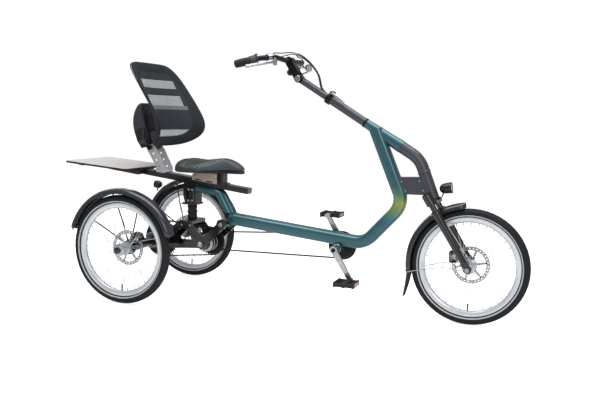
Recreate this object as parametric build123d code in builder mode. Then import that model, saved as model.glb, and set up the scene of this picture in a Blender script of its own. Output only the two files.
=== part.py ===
"""Adult semi-recumbent tricycle: two driven wheels behind, one steered wheel in front.

Lengths are millimetres. X runs forward, Y to the rider's left and Z up; the origin lies on the
ground under the middle of the vehicle's overall length and width. Side views are drawn in
distances ahead of the rear axle and above the ground.
"""

from build123d import *
from math import cos, hypot, pi, radians, sin
import os

os.makedirs("parts", exist_ok=True)

# ---------------------------------------------------------------- driving dimensions
WHEELBASE = 1492
TRACK = 642
REAR_X = -661.15  # the rear axle, seen from the middle of the overall length
TYRE_R = 246  # 20 inch wheel, 406 rim, 47 mm tyre
TYRE_W = 44
FIT = 0.05  # radial clearance of every running fit

AXLE = (0, TYRE_R)
FRONT_AXLE = (WHEELBASE, TYRE_R)
BOTTOM_BRACKET = (918, 280)
PIVOT = (270, 252)  # swing-arm pivot and gear hub share this axis

CHAIN_PITCH = 12.7
CRANK_TEETH = 28
HUB_IN_TEETH = 21
HUB_OUT_TEETH = 33
AXLE_TEETH = 44
FRONT_CHAIN_Y = 44
REAR_CHAIN_Y = 24
CRANK_LENGTH = 150
CRANK_ANGLE = -58  # right crank, up from straight ahead

COLUMN_SLOPE = 31.2  # column above the horizontal, rising backwards
HEAD_SLOPE = 68.4
JOINT = (1264.5, 687)  # where the column axis meets the head axis
FORK_LEAN = 31.5  # legs from the vertical
FORK_HALF = 65

RAIL_SLOPE = 6.8  # seat rail, falling forwards
RAIL_START = (-20, 579)  # a point on the rail's top face


# ---------------------------------------------------------------- planes and helpers
def point(x, z, y=0):
    """A place given ahead of the rear axle, above the ground and to the left."""
    return Vector(REAR_X + x, y, z)


def side(y):
    """The side view at Y = y, with x forward and y up; extruding goes to the right."""
    return Plane(origin=(REAR_X, y, 0), x_dir=(1, 0, 0), z_dir=(0, -1, 0))


def tilted(origin, slope, y=0):
    """A side view whose x axis climbs forwards at the given slope from the origin."""
    x_dir = (cos(radians(slope)), 0, sin(radians(slope)))
    return Plane(origin=point(*origin, y), x_dir=x_dir, z_dir=(0, -1, 0))


def along(origin, direction, distance, offset=0, y=0):
    """The point at a distance along a side-view direction and an offset to its left side."""
    dx, dz = direction
    return point(origin[0] + dx * distance - dz * offset, origin[1] + dz * distance + dx * offset, y)


def drum(centre, y_low, y_high, radius, bore=0, mode=Mode.ADD):
    """A round whose axis runs along Y."""
    with BuildSketch(side(y_high)) as face:
        with Locations(centre):
            Circle(radius)
            if bore:
                Circle(bore, mode=Mode.SUBTRACT)
    extrude(face.sketch, amount=y_high - y_low, mode=mode)


def plate(outline, y_low, y_high, radius=0, plane=side, mode=Mode.ADD):
    """A flat plate of the given side-view outline, its corners rounded."""
    with BuildSketch(plane(y_high)) as face:
        with BuildLine() as edge:
            if radius:
                FilletPolyline(*outline, radius=radius, close=True)
            else:
                Polyline(*outline, close=True)
        make_face(edge.line)
    extrude(face.sketch, amount=y_high - y_low, mode=mode)


def rod(start, end, radius, bore=0, mode=Mode.ADD):
    """A straight round bar between two points."""
    start, end = Vector(start), Vector(end)
    with BuildSketch(Plane(origin=start, z_dir=end - start)) as face:
        Circle(radius)
        if bore:
            Circle(bore, mode=Mode.SUBTRACT)
    extrude(face.sketch, amount=(end - start).length, mode=mode)


def cone(start, end, radius, end_radius, mode=Mode.ADD):
    """A straight bar that tapers between two points."""
    start, end = Vector(start), Vector(end)
    with Locations(Plane(origin=start, z_dir=end - start)):
        Cone(radius, end_radius, (end - start).length, align=(Align.CENTER, Align.CENTER, Align.MIN), mode=mode)


def bent(points, bends, radius, bore=0, mode=Mode.ADD):
    """A round tube along straight runs joined by arcs."""
    with BuildLine() as route:
        FilletPolyline(*points, radius=bends)
    with BuildSketch(Plane(origin=route.line @ 0, z_dir=route.line % 0)) as face:
        Circle(radius)
        if bore:
            Circle(bore, mode=Mode.SUBTRACT)
    sweep(face.sketch, path=route.line, mode=mode)


def boxed(points, bends, width, depth, corner, wall=0):
    """A rounded box tube, width along Y, along a path in the side view."""
    with BuildLine() as route:
        FilletPolyline(*points, radius=bends)
    with BuildSketch(Plane(origin=route.line @ 0, x_dir=(0, 1, 0), z_dir=route.line % 0)) as face:
        RectangleRounded(width, depth, corner)
        if wall:
            RectangleRounded(width - 2 * wall, depth - 2 * wall, corner - wall, mode=Mode.SUBTRACT)
    sweep(face.sketch, path=route.line)


def turned(outline, centre, y=0):
    """A ring turned about the Y axis through a side-view centre; outline is (along Y, radius)."""
    frame = Plane(origin=point(*centre, y), x_dir=(0, 1, 0), z_dir=(1, 0, 0))
    with BuildSketch(frame) as face:
        with BuildLine() as edge:
            Polyline(*outline, close=True)
        make_face(edge.line)
    revolve(face.sketch, axis=Axis(point(*centre, y), (0, 1, 0)))


def pitch_radius(teeth):
    """Radius at which the chain's rollers sit."""
    return CHAIN_PITCH / (2 * sin(pi / teeth))


def sprocket(centre, y, teeth, bore):
    """A toothed plate, its gaps as round as the chain's rollers."""
    ring = pitch_radius(teeth)
    with BuildSketch(side(y + 1.3)) as face:
        with Locations(centre):
            Circle(ring + 3.2)
            Circle(bore, mode=Mode.SUBTRACT)
            with PolarLocations(ring, teeth):
                Circle(3.95, mode=Mode.SUBTRACT)
    extrude(face.sketch, amount=2.6)


def belt_edge(first, first_r, second, second_r):
    """The closed outline stretched round two circles."""
    dx, dz = second[0] - first[0], second[1] - first[1]
    span = hypot(dx, dz)
    ux, uz = dx / span, dz / span
    lean = (first_r - second_r) / span
    rise = (1 - lean * lean) ** 0.5
    upper = (ux * lean - uz * rise, uz * lean + ux * rise)
    lower = (ux * lean + uz * rise, uz * lean - ux * rise)

    def at(centre, radius, way):
        return (centre[0] + radius * way[0], centre[1] + radius * way[1])

    ThreePointArc(at(first, first_r, upper), at(first, first_r, (-ux, -uz)), at(first, first_r, lower))
    Line(at(first, first_r, lower), at(second, second_r, lower))
    ThreePointArc(at(second, second_r, lower), at(second, second_r, (ux, uz)), at(second, second_r, upper))
    Line(at(second, second_r, upper), at(first, first_r, upper))


def chain(first, first_teeth, second, second_teeth, y):
    """A closed chain, slotted where it wraps its two sprockets."""
    radii = [pitch_radius(teeth) for teeth in (first_teeth, second_teeth)]
    faces = []
    for reach in (4, -4):
        with BuildSketch(side(y + 4)) as face:
            with BuildLine() as edge:
                belt_edge(first, radii[0] + reach, second, radii[1] + reach)
            make_face(edge.line)
        faces.append(face.sketch)
    extrude(faces[0], amount=8)
    extrude(faces[1], amount=8, mode=Mode.SUBTRACT)
    for centre, radius in zip((first, second), radii):
        drum(centre, y - 1.7, y + 1.7, radius + 5, mode=Mode.SUBTRACT)


def arch(centre, y, radius, start, end, half_width, crown=8, thick=2.5):
    """A curved mudguard over a wheel, between two angles above straight ahead."""
    way = (cos(radians(start)), 0, sin(radians(start)))
    origin = point(*centre, y)
    frame = Plane(origin=origin, x_dir=(0, 1, 0), z_dir=Vector(0, 1, 0).cross(Vector(way)))
    low = radius - crown
    with BuildSketch(frame) as face:
        with BuildLine() as edge:
            ThreePointArc((-half_width, low), (0, radius), (half_width, low))
            Line((half_width, low), (half_width - 1, low - thick))
            ThreePointArc((half_width - 1, low - thick), (0, radius - thick), (1 - half_width, low - thick))
            Line((1 - half_width, low - thick), (-half_width, low))
        make_face(edge.line)
    revolve(face.sketch, axis=Axis(origin, (0, -1, 0)), revolution_arc=end - start)


def wheel_spokes(centre, y, flange_y, flange_r, rim_r, count):
    """Crossed wire spokes from two hub flanges to the rim; neighbours pass clear of each other."""
    for index in range(count):
        turn = 2 * pi * index / count
        hand = 1 if index % 2 else -1
        lean = 1 if (index // 2) % 2 else -1
        base = turn + lean * radians(52)
        inner = (centre[0] + flange_r * cos(base), centre[1] + flange_r * sin(base))
        outer = (centre[0] + rim_r * cos(turn), centre[1] + rim_r * sin(turn))
        rod(
            point(*inner, y + hand * flange_y + lean * 2.4),
            point(*outer, y + hand * 3),
            1.1,
        )


def save(builder, name):
    """Label a finished piece and write it."""
    builder.part.label = name
    export_step(builder.part, f"parts/{name}.step")


column_way = (-cos(radians(COLUMN_SLOPE)), sin(radians(COLUMN_SLOPE)))  # up the column
head_way = (-cos(radians(HEAD_SLOPE)), sin(radians(HEAD_SLOPE)))  # up the head axis
leg_way = (-sin(radians(FORK_LEAN)), cos(radians(FORK_LEAN)))  # up a fork leg


def on_column(distance, offset=0, y=0):
    """A point up the column from the joint; a positive offset is below the axis."""
    return along(JOINT, column_way, distance, offset, y)


def on_head(distance, offset=0, y=0):
    """A point along the head axis above the joint; a positive offset is behind the axis."""
    return along(JOINT, head_way, distance, offset, y)


def on_leg(distance, offset=0, y=0):
    """A point up a fork leg from the front axle."""
    return along(FRONT_AXLE, leg_way, distance, offset, y)


def climbing(origin, way):
    """Side views whose x axis runs from the origin along a way, and whose y axis lies behind it."""
    return lambda y: Plane(origin=point(*origin, y), x_dir=(way[0], 0, way[1]), z_dir=(0, -1, 0))


column_side = climbing(JOINT, column_way)


# ---------------------------------------------------------------- frame: beam and tubes
BEAM_W, BEAM_D, BEAM_CORNER, BEAM_WALL = 60, 56, 20, 2.5
beam_path = [point(384, 374), point(1035, 308), point(1122, 404)]
down_path = [point(1122, 404), point(1203, 493), point(1071, 806)]
CROSS_TUBE = (372, 352)
SHELL_R = 21

with BuildPart() as beam_core:
    boxed(beam_path, [95], BEAM_W, BEAM_D, BEAM_CORNER)

with BuildPart() as main_beam:
    boxed(beam_path, [95], BEAM_W, BEAM_D, BEAM_CORNER, BEAM_WALL)
    drum(BOTTOM_BRACKET, -34, 34, SHELL_R)
    drum(BOTTOM_BRACKET, -35, 35, 16, mode=Mode.SUBTRACT)
    drum(CROSS_TUBE, -80, 80, 16, mode=Mode.SUBTRACT)
    rear_end = [(384, 345), (402, 343), (408, 399), (390, 401)]
    plate(rear_end, -27, 27, mode=Mode.ADD)
    drum(CROSS_TUBE, -80, 80, 16, mode=Mode.SUBTRACT)
save(main_beam, "main_beam")

SLEEVE_START, SLEEVE_END = 276, 92  # distances up the column from the joint
with BuildPart() as sleeve_core:
    cone(on_column(SLEEVE_END), on_column(SLEEVE_START), 27, 20)

with BuildPart() as down_tube:
    boxed(down_path, [90], BEAM_W, BEAM_D, BEAM_CORNER, BEAM_WALL)
    add(sleeve_core.part, mode=Mode.SUBTRACT)
save(down_tube, "down_tube")

BEARING_R = 17
with BuildPart() as column_sleeve:
    cone(on_column(SLEEVE_END), on_column(SLEEVE_START), 27, 20)
    rod(on_column(SLEEVE_END - 1), on_column(SLEEVE_START + 1), BEARING_R, mode=Mode.SUBTRACT)
save(column_sleeve, "column_sleeve")

HEAD_TOP, HEAD_BOTTOM = -58, -179  # distances along the head axis from the joint
with BuildPart() as joint_cover:
    bent([on_column(SLEEVE_END), point(*JOINT), on_head(HEAD_TOP)], [115], 26, 21)
save(joint_cover, "joint_cover")

with BuildPart() as head_core:
    rod(on_head(HEAD_BOTTOM - 5), on_head(HEAD_TOP + 5), 26)

with BuildPart() as down_core:
    boxed(down_path, [90], BEAM_W, BEAM_D, BEAM_CORNER)

with BuildPart() as head_bridge:
    plate([(1160, 606), (1290, 612), (1312, 538), (1185, 536)], -24, 24, 3)
    add(head_core.part, mode=Mode.SUBTRACT)
    add(down_core.part, mode=Mode.SUBTRACT)
bridge_solid = head_bridge.part.solids().sort_by(SortBy.VOLUME)[-1]
with BuildPart() as head_tube:
    rod(on_head(HEAD_BOTTOM), on_head(HEAD_TOP), 26, BEARING_R)
    add(bridge_solid)
save(head_tube, "head_tube")

with BuildPart() as bearings:
    for low, high in ((SLEEVE_END + 4, SLEEVE_END + 16), (SLEEVE_START - 16, SLEEVE_START - 4)):
        rod(on_column(low), on_column(high), BEARING_R, 12 + FIT)
    for low, high in ((HEAD_BOTTOM + 2, HEAD_BOTTOM + 14), (HEAD_TOP - 14, HEAD_TOP - 2)):
        rod(on_head(low), on_head(high), BEARING_R, 12 + FIT)
    for y in (-33, 21):
        drum(BOTTOM_BRACKET, y, y + 12, 16, 8.5 + FIT)
save(bearings, "bearings")

# ---------------------------------------------------------------- frame: rear half
RAIL_W, RAIL_H = 46, 26
RAIL_BACK, RAIL_FRONT = -50, 505  # along the rail from its start point


def rail_side(y):
    """The side view in the rail's own line: x along the rail, y out of its top face."""
    return tilted(RAIL_START, -RAIL_SLOPE, y)


def on_rail(distance, height, y=0):
    """A point along the rail and above its top face."""
    slope = radians(-RAIL_SLOPE)
    return along(RAIL_START, (cos(slope), sin(slope)), distance, height, y)


def rail_box(low, high, bottom, top, y_low, y_high, radius=0, mode=Mode.ADD):
    """A block lined up with the rail."""
    outline = [(low, bottom), (high, bottom), (high, top), (low, top)]
    plate(outline, y_low, y_high, radius, rail_side, mode)


with BuildPart() as seat_rail:
    rail_box(RAIL_BACK, RAIL_FRONT, -RAIL_H, 0, -RAIL_W / 2, RAIL_W / 2)
    rail_box(RAIL_BACK + 3, RAIL_FRONT - 3, -RAIL_H + 3, -3, -RAIL_W / 2 + 3, RAIL_W / 2 - 3, mode=Mode.SUBTRACT)
save(seat_rail, "seat_rail")

with BuildPart() as seat_stays:
    for y in (-19, 19):
        bent([point(214, 506, y), point(330, 493, y), point(396, 376, y)], [45], 17, 14.5)
    add(beam_core.part, mode=Mode.SUBTRACT)
    plate([(366, 320), (420, 320), (426, 399), (366, 405)], -40, 40, mode=Mode.SUBTRACT)
save(seat_stays, "seat_stays")

BUFFER = (180, 356, 428)  # x, bottom and top of the rubber buffer
with BuildPart() as buffer_post:
    plate([(158, BUFFER[2]), (216, BUFFER[2]), (213, 486), (198, 540), (150, 545), (146, 470)], -30, 30, 4)
    plate([(166, BUFFER[2] + 10), (206, BUFFER[2] + 10), (204, 505), (160, 510)], -24, 31, 4, mode=Mode.SUBTRACT)
    plate([(166, BUFFER[2] + 10), (206, BUFFER[2] + 10), (204, 505), (160, 510)], -31, 24, 4, mode=Mode.SUBTRACT)
    plate([(140, BUFFER[2]), (222, BUFFER[2]), (222, BUFFER[2] + 8), (140, BUFFER[2] + 8)], -34, 34, 2)
    plate([(180, BUFFER[2] + 4), (186, BUFFER[2] + 4), (184, 520), (178, 520)], -28, 28)
    rail_box(RAIL_BACK, RAIL_FRONT, -RAIL_H, 0, -40, 40, mode=Mode.SUBTRACT)
save(buffer_post, "buffer_post")

with BuildPart() as rubber_buffer:
    with BuildSketch(Plane(origin=point(BUFFER[0], BUFFER[1], 0))) as ring:
        Circle(24)
    extrude(ring.sketch, amount=BUFFER[2] - BUFFER[1])
save(rubber_buffer, "rubber_buffer")

ARM_Y = 74
with BuildPart() as subframe:
    drum(CROSS_TUBE, -ARM_Y - 5, ARM_Y + 5, 15.9)
    for y in (-ARM_Y, ARM_Y):
        drum(PIVOT, y - 5, y + 5, 24)
        plate([(262, 270), (278, 234), (384, 334), (366, 368)], y - 5, y + 5, 6)
        drum(CROSS_TUBE, y - 5, y + 5, 24)
    drum(PIVOT, -90, 90, 8, mode=Mode.SUBTRACT)
save(subframe, "subframe")

with BuildPart() as front_chain:
    chain(PIVOT, HUB_IN_TEETH, BOTTOM_BRACKET, CRANK_TEETH, FRONT_CHAIN_Y)
save(front_chain, "front_chain")

PLATE_REAR = (-415, 621)
PLATE_SLOPE = -4.4
PLATE_LENGTH = 345
plate_frame_plane = tilted(PLATE_REAR, PLATE_SLOPE)


def plate_side(y):
    """The side view in the luggage plate's own line."""
    return tilted(PLATE_REAR, PLATE_SLOPE, y)


with BuildPart() as luggage_plate:
    slab = Plane(origin=point(*PLATE_REAR), x_dir=plate_frame_plane.x_dir, z_dir=plate_frame_plane.y_dir)
    with BuildSketch(slab) as face:
        with Locations((PLATE_LENGTH / 2, 0)):
            RectangleRounded(PLATE_LENGTH, 370, 26)
    extrude(face.sketch, amount=-9)
save(luggage_plate, "luggage_plate")

with BuildPart() as plate_frame:
    for y in (-62, 44):
        plate([(40, -9.2), (338, -9.2), (338, -36), (200, -30), (40, -18)], y, y + 18, 2, plate_side)
    for low in (60, 300):
        plate([(low, -9.2), (low + 24, -9.2), (low + 24, -17), (low, -17)], -150, 150, 1, plate_side)
    rail_box(RAIL_BACK - 26, RAIL_BACK - 0.2, -24, -1, -62, 62, 2)
save(plate_frame, "plate_frame")

with BuildPart() as frame_fasteners:
    drum(PIVOT, -88, 88, 8)
    for y in (-88, 80):
        drum(PIVOT, y, y + 8, 13)
    for spot in ((176, 448), (196, 448), (178, 500), (196, 500)):
        for y in (-33.5, 30):
            drum(spot, y, y + 3.5, 5.5)
    for y in (-ARM_Y - 9.5, ARM_Y + 5.5):
        drum(CROSS_TUBE, y, y + 4, 9)
save(frame_fasteners, "frame_fasteners")

# ---------------------------------------------------------------- swing arm
SWING_Y = 61
HOUSING_END = 262
with BuildPart() as swing_arm:
    for y in (-SWING_Y, SWING_Y):
        drum(PIVOT, y - 5, y + 5, 25)
        drum(AXLE, y - 5, y + 5, 38)
        plate([(12, 212), (262, 231), (268, 274), (222, 330), (208, 346), (146, 346), (14, 282)], y - 5, y + 5, 9)
        plate([(66, 240), (222, 246), (190, 316), (150, 318)], y - 6, y + 6, 10, mode=Mode.SUBTRACT)
    plate([(146, 338), (214, 338), (214, BUFFER[1]), (146, BUFFER[1])], -SWING_Y - 5, SWING_Y + 5, 2)
    drum(AXLE, -80, 80, 22, mode=Mode.SUBTRACT)
    drum(PIVOT, -80, 80, 8 + FIT, mode=Mode.SUBTRACT)
save(swing_arm, "swing_arm")

with BuildPart() as axle_housing:
    for y_low, y_high in ((-HOUSING_END, -54), (54, HOUSING_END)):
        drum(AXLE, y_low, y_high, 22, 10 + FIT)
    for y in (-HOUSING_END, HOUSING_END - 8):
        drum(AXLE, y, y + 8, 34, 22)
save(axle_housing, "axle_housing")

with BuildPart() as rear_chain:
    chain(AXLE, AXLE_TEETH, PIVOT, HUB_OUT_TEETH, REAR_CHAIN_Y)
save(rear_chain, "rear_chain")

FENDER_R = 277
with BuildPart() as rear_fenders:
    for y in (-TRACK / 2, TRACK / 2):
        arch(AXLE, y, FENDER_R, 17, 164, 31)
    for hand in (-1, 1):
        for angle in (74, 106, 148):
            start = point(35 * cos(radians(angle)), TYRE_R + 35 * sin(radians(angle)), hand * 258)
            reach = FENDER_R - 8
            knee = point(reach * cos(radians(angle)), TYRE_R + reach * sin(radians(angle)), hand * 284)
            rod(start, knee, 3.5)
            foot_y = (hand * 284, hand * 290)
            drum((reach * cos(radians(angle)), TYRE_R + reach * sin(radians(angle))), min(foot_y), max(foot_y), 6)
save(rear_fenders, "rear_fenders")

with BuildPart() as rear_lamp:
    plate([(-214, 458), (-186, 476), (-192, 492), (-212, 490), (-226, 474)], TRACK / 2 - 22, TRACK / 2 + 22, 6)
    plate([(-206, 452), (-196, 458), (-202, 470), (-211, 464)], TRACK / 2 - 6, TRACK / 2 + 6)
save(rear_lamp, "rear_lamp")

ROTOR_R = 80
ROTOR_Y = 272  # the rear brake discs
with BuildPart() as rear_calipers:
    for hand in (-1, 1):
        for inner, outer in ((-13, -2.2), (2.2, 13)):
            low, high = sorted((hand * ROTOR_Y + inner, hand * ROTOR_Y + outer))
            plate([(30, 276), (58, 262), (84, 290), (70, 318), (40, 322)], low, high, 8)
        for spot in ((72, 312), (46, 320)):
            drum(spot, hand * ROTOR_Y - 5, hand * ROTOR_Y + 5, 4, mode=Mode.ADD)
        y_low, y_high = sorted((hand * 249, hand * 253.9))
        plate([(19, 268), (32, 250), (66, 276), (46, 306)], y_low, y_high, 4)
        y_low, y_high = sorted((hand * 253, hand * (ROTOR_Y - 12)))
        drum((52, 286), y_low, y_high, 6)
save(rear_calipers, "rear_calipers")


# ---------------------------------------------------------------- wheels
def build_tyre(centre, y):
    """A tyre as a turned ring with a rounded tread."""
    half = TYRE_W / 2
    wall = [(10.7, 201), (10.7, 210.3), (16.5, 213), (half, 223), (half - 1.5, 233), (half - 7, 240.5), (8, TYRE_R - 1)]
    lining = [(7.5, 201), (7.8, 212), (16, 219), (17.5, 226), (15, 234)]
    left = [(-across, radius) for across, radius in wall]
    outline = left + [(0, TYRE_R)] + wall[::-1] + lining + [(0, 240)]
    outline += [(-across, radius) for across, radius in lining[::-1]]
    turned(outline, centre, y)


def build_rim(centre, y):
    """A hollow-looking alloy rim with hooked edges."""
    outline = [
        (-12.8, 210), (-13.2, 204.8), (-12, 198), (-9, 191), (-4, 187.5), (4, 187.5), (9, 191), (12, 198),
        (13.2, 204.8), (12.8, 210), (10.8, 210), (10.8, 200), (4, 196), (-4, 196), (-10.8, 200), (-10.8, 210),
    ]
    turned(outline, centre, y)


def build_rotor(centre, y):
    """A ventilated brake disc on a spider."""
    with BuildSketch(side(y + 0.9)) as face:
        with Locations(centre):
            Circle(ROTOR_R)
            Circle(64, mode=Mode.SUBTRACT)
            with PolarLocations(72, 30):
                Circle(2.6, mode=Mode.SUBTRACT)
            Circle(26)
            with PolarLocations(45, 6, start_angle=12):
                SlotOverall(46, 9)
            Circle(17.5, mode=Mode.SUBTRACT)
    extrude(face.sketch, amount=1.8)


REAR_FLANGE = 22
for label, hand in (("right", -1), ("left", 1)):
    middle = hand * TRACK / 2
    with BuildPart() as tyre:
        build_tyre(AXLE, middle)
    save(tyre, f"{label}_tyre")
    with BuildPart() as hub:
        build_rim(AXLE, middle)
        low, high = sorted((hand * 268, hand * 352))
        drum(AXLE, low, high, 17)
        for flange in (-REAR_FLANGE, REAR_FLANGE):
            drum(AXLE, middle + flange - 1.6, middle + flange + 1.6, 27)
        low, high = sorted((hand * 352, hand * 366))
        drum(AXLE, low, high, 14)
        low, high = sorted((hand * 54, hand * 268))
        drum(AXLE, low, high, 10)
        wheel_spokes(AXLE, middle, REAR_FLANGE, 24, 189.5, 36)
    save(hub, f"{label}_wheel")
    with BuildPart() as rotor:
        build_rotor(AXLE, hand * ROTOR_Y)
    save(rotor, f"{label}_brake_disc")

FRONT_ROTOR_Y = 40
with BuildPart() as front_tyre:
    build_tyre(FRONT_AXLE, 0)
save(front_tyre, "front_tyre")
with BuildPart() as front_hub:
    build_rim(FRONT_AXLE, 0)
    drum(FRONT_AXLE, -48, 48, 17, 6 + FIT)
    for flange in (-30, 26):
        drum(FRONT_AXLE, flange - 1.6, flange + 1.6, 27)
    drum(FRONT_AXLE, -50, 50, 6 + FIT, mode=Mode.SUBTRACT)
    wheel_spokes(FRONT_AXLE, -2, 28, 24, 189.5, 36)
save(front_hub, "front_wheel")
with BuildPart() as front_rotor:
    build_rotor(FRONT_AXLE, FRONT_ROTOR_Y)
save(front_rotor, "front_brake_disc")

# ---------------------------------------------------------------- drive train
with BuildPart() as gear_hub:
    drum(PIVOT, -46, 12, 40)
    drum(PIVOT, 12, 50, 24)
    sprocket(PIVOT, REAR_CHAIN_Y, HUB_OUT_TEETH, 23)
    sprocket(PIVOT, FRONT_CHAIN_Y, HUB_IN_TEETH, 23)
    drum(PIVOT, -50, 55, 8 + FIT, mode=Mode.SUBTRACT)
save(gear_hub, "gear_hub")

with BuildPart() as differential:
    drum(AXLE, -34, 16, 48)
    drum(AXLE, -50, 50, 21)
    sprocket(AXLE, REAR_CHAIN_Y, AXLE_TEETH, 20)
    drum(AXLE, 12, 34, 40)
save(differential, "differential")

crank_dir = (cos(radians(CRANK_ANGLE)), sin(radians(CRANK_ANGLE)))
right_end = tuple(BOTTOM_BRACKET[i] + CRANK_LENGTH * crank_dir[i] for i in range(2))
left_end = tuple(BOTTOM_BRACKET[i] - CRANK_LENGTH * crank_dir[i] for i in range(2))
PIN_R = 6


def crank(end, y_low, y_high):
    """A forged arm with a round boss at both ends."""
    drum(BOTTOM_BRACKET, y_low, y_high, 17)
    drum(end, y_low, y_high, 12.5)
    ux, uz = ((end[i] - BOTTOM_BRACKET[i]) / CRANK_LENGTH for i in range(2))
    outline = [
        (BOTTOM_BRACKET[0] - uz * 14, BOTTOM_BRACKET[1] + ux * 14),
        (BOTTOM_BRACKET[0] + uz * 14, BOTTOM_BRACKET[1] - ux * 14),
        (end[0] + uz * 9, end[1] - ux * 9),
        (end[0] - uz * 9, end[1] + ux * 9),
    ]
    plate(outline, y_low + 1.5, y_high - 1.5)


with BuildPart() as cranks:
    drum(BOTTOM_BRACKET, -82, 82, 8.5)
    crank(right_end, -82, -66)
    crank(left_end, 66, 82)
    drum(right_end, -178, -82, PIN_R)
    drum(left_end, 82, 178, PIN_R)
save(cranks, "cranks")

with BuildPart() as chainring:
    sprocket(BOTTOM_BRACKET, FRONT_CHAIN_Y, CRANK_TEETH, 8.5)
    drum(BOTTOM_BRACKET, 38, 65.8, 22, 8.5)
    drum(BOTTOM_BRACKET, 50, 52, 65, 22)
save(chainring, "chainring")

for label, end, low in (("right", right_end, -181), ("left", left_end, 91)):
    with BuildPart() as pedal:
        high = low + 90
        drum(end, low, high, 12)
        box = [(end[0] - 46, end[1] - 12), (end[0] + 46, end[1] - 12), (end[0] + 46, end[1] + 12), (end[0] - 46, end[1] + 12)]
        plate(box, low + 2, high - 2, 5)
        for x_low, x_high in ((-37, -15), (15, 37)):
            slot = [(end[0] + x_low, end[1] - 13), (end[0] + x_high, end[1] - 13),
                    (end[0] + x_high, end[1] + 13), (end[0] + x_low, end[1] + 13)]
            for y in (low + 12, low + 50):
                plate(slot, y, y + 28, mode=Mode.SUBTRACT)
        drum(end, low - 1, high + 1, PIN_R + FIT, mode=Mode.SUBTRACT)
    save(pedal, f"{label}_pedal")

# ---------------------------------------------------------------- steering column
COLUMN_TOP = 490
POST_R = 15.5
with BuildPart() as column_tube:
    rod(on_column(SLEEVE_START + 2), on_column(COLUMN_TOP), 19)
    rod(on_column(SLEEVE_START + 12), on_column(COLUMN_TOP + 1), POST_R + FIT, mode=Mode.SUBTRACT)
    rod(on_column(48), on_column(SLEEVE_START + 2), 12)
    rod(on_column(34), on_column(52), 15)
save(column_tube, "column_tube")

with BuildPart() as clamp_collar:
    rod(on_column(466), on_column(488), 24.5, 19)
    rod(on_column(477, -30, -14), on_column(477, -30, 14), 7)
    plate([(468, -18), (486, -18), (486, -34), (468, -34)], -13, 13, 2, column_side)
    rod(on_column(460), on_column(494), 19, mode=Mode.SUBTRACT)
    rod(on_column(477, -30, -20), on_column(477, -30, 20), 3 + FIT, mode=Mode.SUBTRACT)
save(clamp_collar, "clamp_collar")

with BuildPart() as clamp_lever:
    rod(on_column(477, -30, -22), on_column(477, -30, 20), 3)
    rod(on_column(477, -30, -26), on_column(477, -30, -14.5), 8)
    rod(on_column(477, -30, 14.5), on_column(477, -30, 20), 7)
    bent([on_column(474, -30, -22), on_column(450, -28, -24), on_column(405, -25, -24)], [30], 4)
save(clamp_lever, "clamp_lever")

STEM_PIVOT = 643
POST_BOTTOM = 300
with BuildPart() as stem_post:
    rod(on_column(POST_BOTTOM), on_column(STEM_PIVOT - 20), POST_R, 12)
    groove = [(POST_BOTTOM + 90, -9), (STEM_PIVOT - 95, -9), (STEM_PIVOT - 95, -20), (POST_BOTTOM + 90, -20)]
    plate(groove, -6, 6, 0, column_side, Mode.SUBTRACT)
    rod(on_column(STEM_PIVOT - 32), on_column(STEM_PIVOT - 19), POST_R)
    neck = [(STEM_PIVOT - 30, -14), (STEM_PIVOT, -14), (STEM_PIVOT, 14), (STEM_PIVOT - 30, 14)]
    plate(neck, -11, 11, 0, column_side)
    rod(on_column(STEM_PIVOT, 0, -11), on_column(STEM_PIVOT, 0, 11), 18)
    rod(on_column(STEM_PIVOT, 0, -12), on_column(STEM_PIVOT, 0, 12), 5 + FIT, mode=Mode.SUBTRACT)
save(stem_post, "stem_post")

# ---------------------------------------------------------------- stem and handlebar
PIVOT_SPOT = (JOINT[0] + column_way[0] * STEM_PIVOT, JOINT[1] + column_way[1] * STEM_PIVOT)
BAR = (668, 1097)
BAR_R = 11.1
with BuildPart() as stem:
    for low, high in ((-20, -12), (12, 20)):
        drum(PIVOT_SPOT, low, high, 18)
        plate([(PIVOT_SPOT[0] - 16, PIVOT_SPOT[1] - 6), (PIVOT_SPOT[0] + 14, PIVOT_SPOT[1] + 10),
               (BAR[0] + 16, BAR[1] - 6), (BAR[0] - 14, BAR[1] - 12)], low, high, 4)
    plate([(PIVOT_SPOT[0] - 32, PIVOT_SPOT[1] + 20), (PIVOT_SPOT[0] - 2, PIVOT_SPOT[1] + 33),
           (BAR[0] + 14, BAR[1] + 2), (BAR[0] - 12, BAR[1] - 10)], -20, 20, 4)
    drum(BAR, -22, 22, 17.5)
    drum(PIVOT_SPOT, -23, 23, 5)
    for low in (-26, 20):
        drum(PIVOT_SPOT, low, low + 6, 13)
    drum(BAR, -30, 30, BAR_R, mode=Mode.SUBTRACT)
save(stem, "stem")

grip_start, grip_end = (624, 1092, 236), (548, 1064, 302)


def grip_spot(t, hand, lift=0):
    """A point along a grip's axis, from its inner end at 0 to its outer end at 1."""
    spot = [a + (b - a) * t for a, b in zip(grip_start, grip_end)]
    return point(spot[0], spot[1] + lift, hand * spot[2])


with BuildPart() as grips:
    rod(grip_spot(0.44, -1), grip_spot(1.04, -1), 16.5, BAR_R)
    rod(grip_spot(0.14, 1), grip_spot(1.04, 1), 16.5, BAR_R)
save(grips, "grips")

with BuildPart() as gear_shifter:
    rod(grip_spot(0.14, -1), grip_spot(0.43, -1), 18.5, BAR_R + FIT)
    rod(grip_spot(0.11, -1), grip_spot(0.17, -1), 21.5, BAR_R + FIT)
save(gear_shifter, "gear_shifter")

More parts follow.
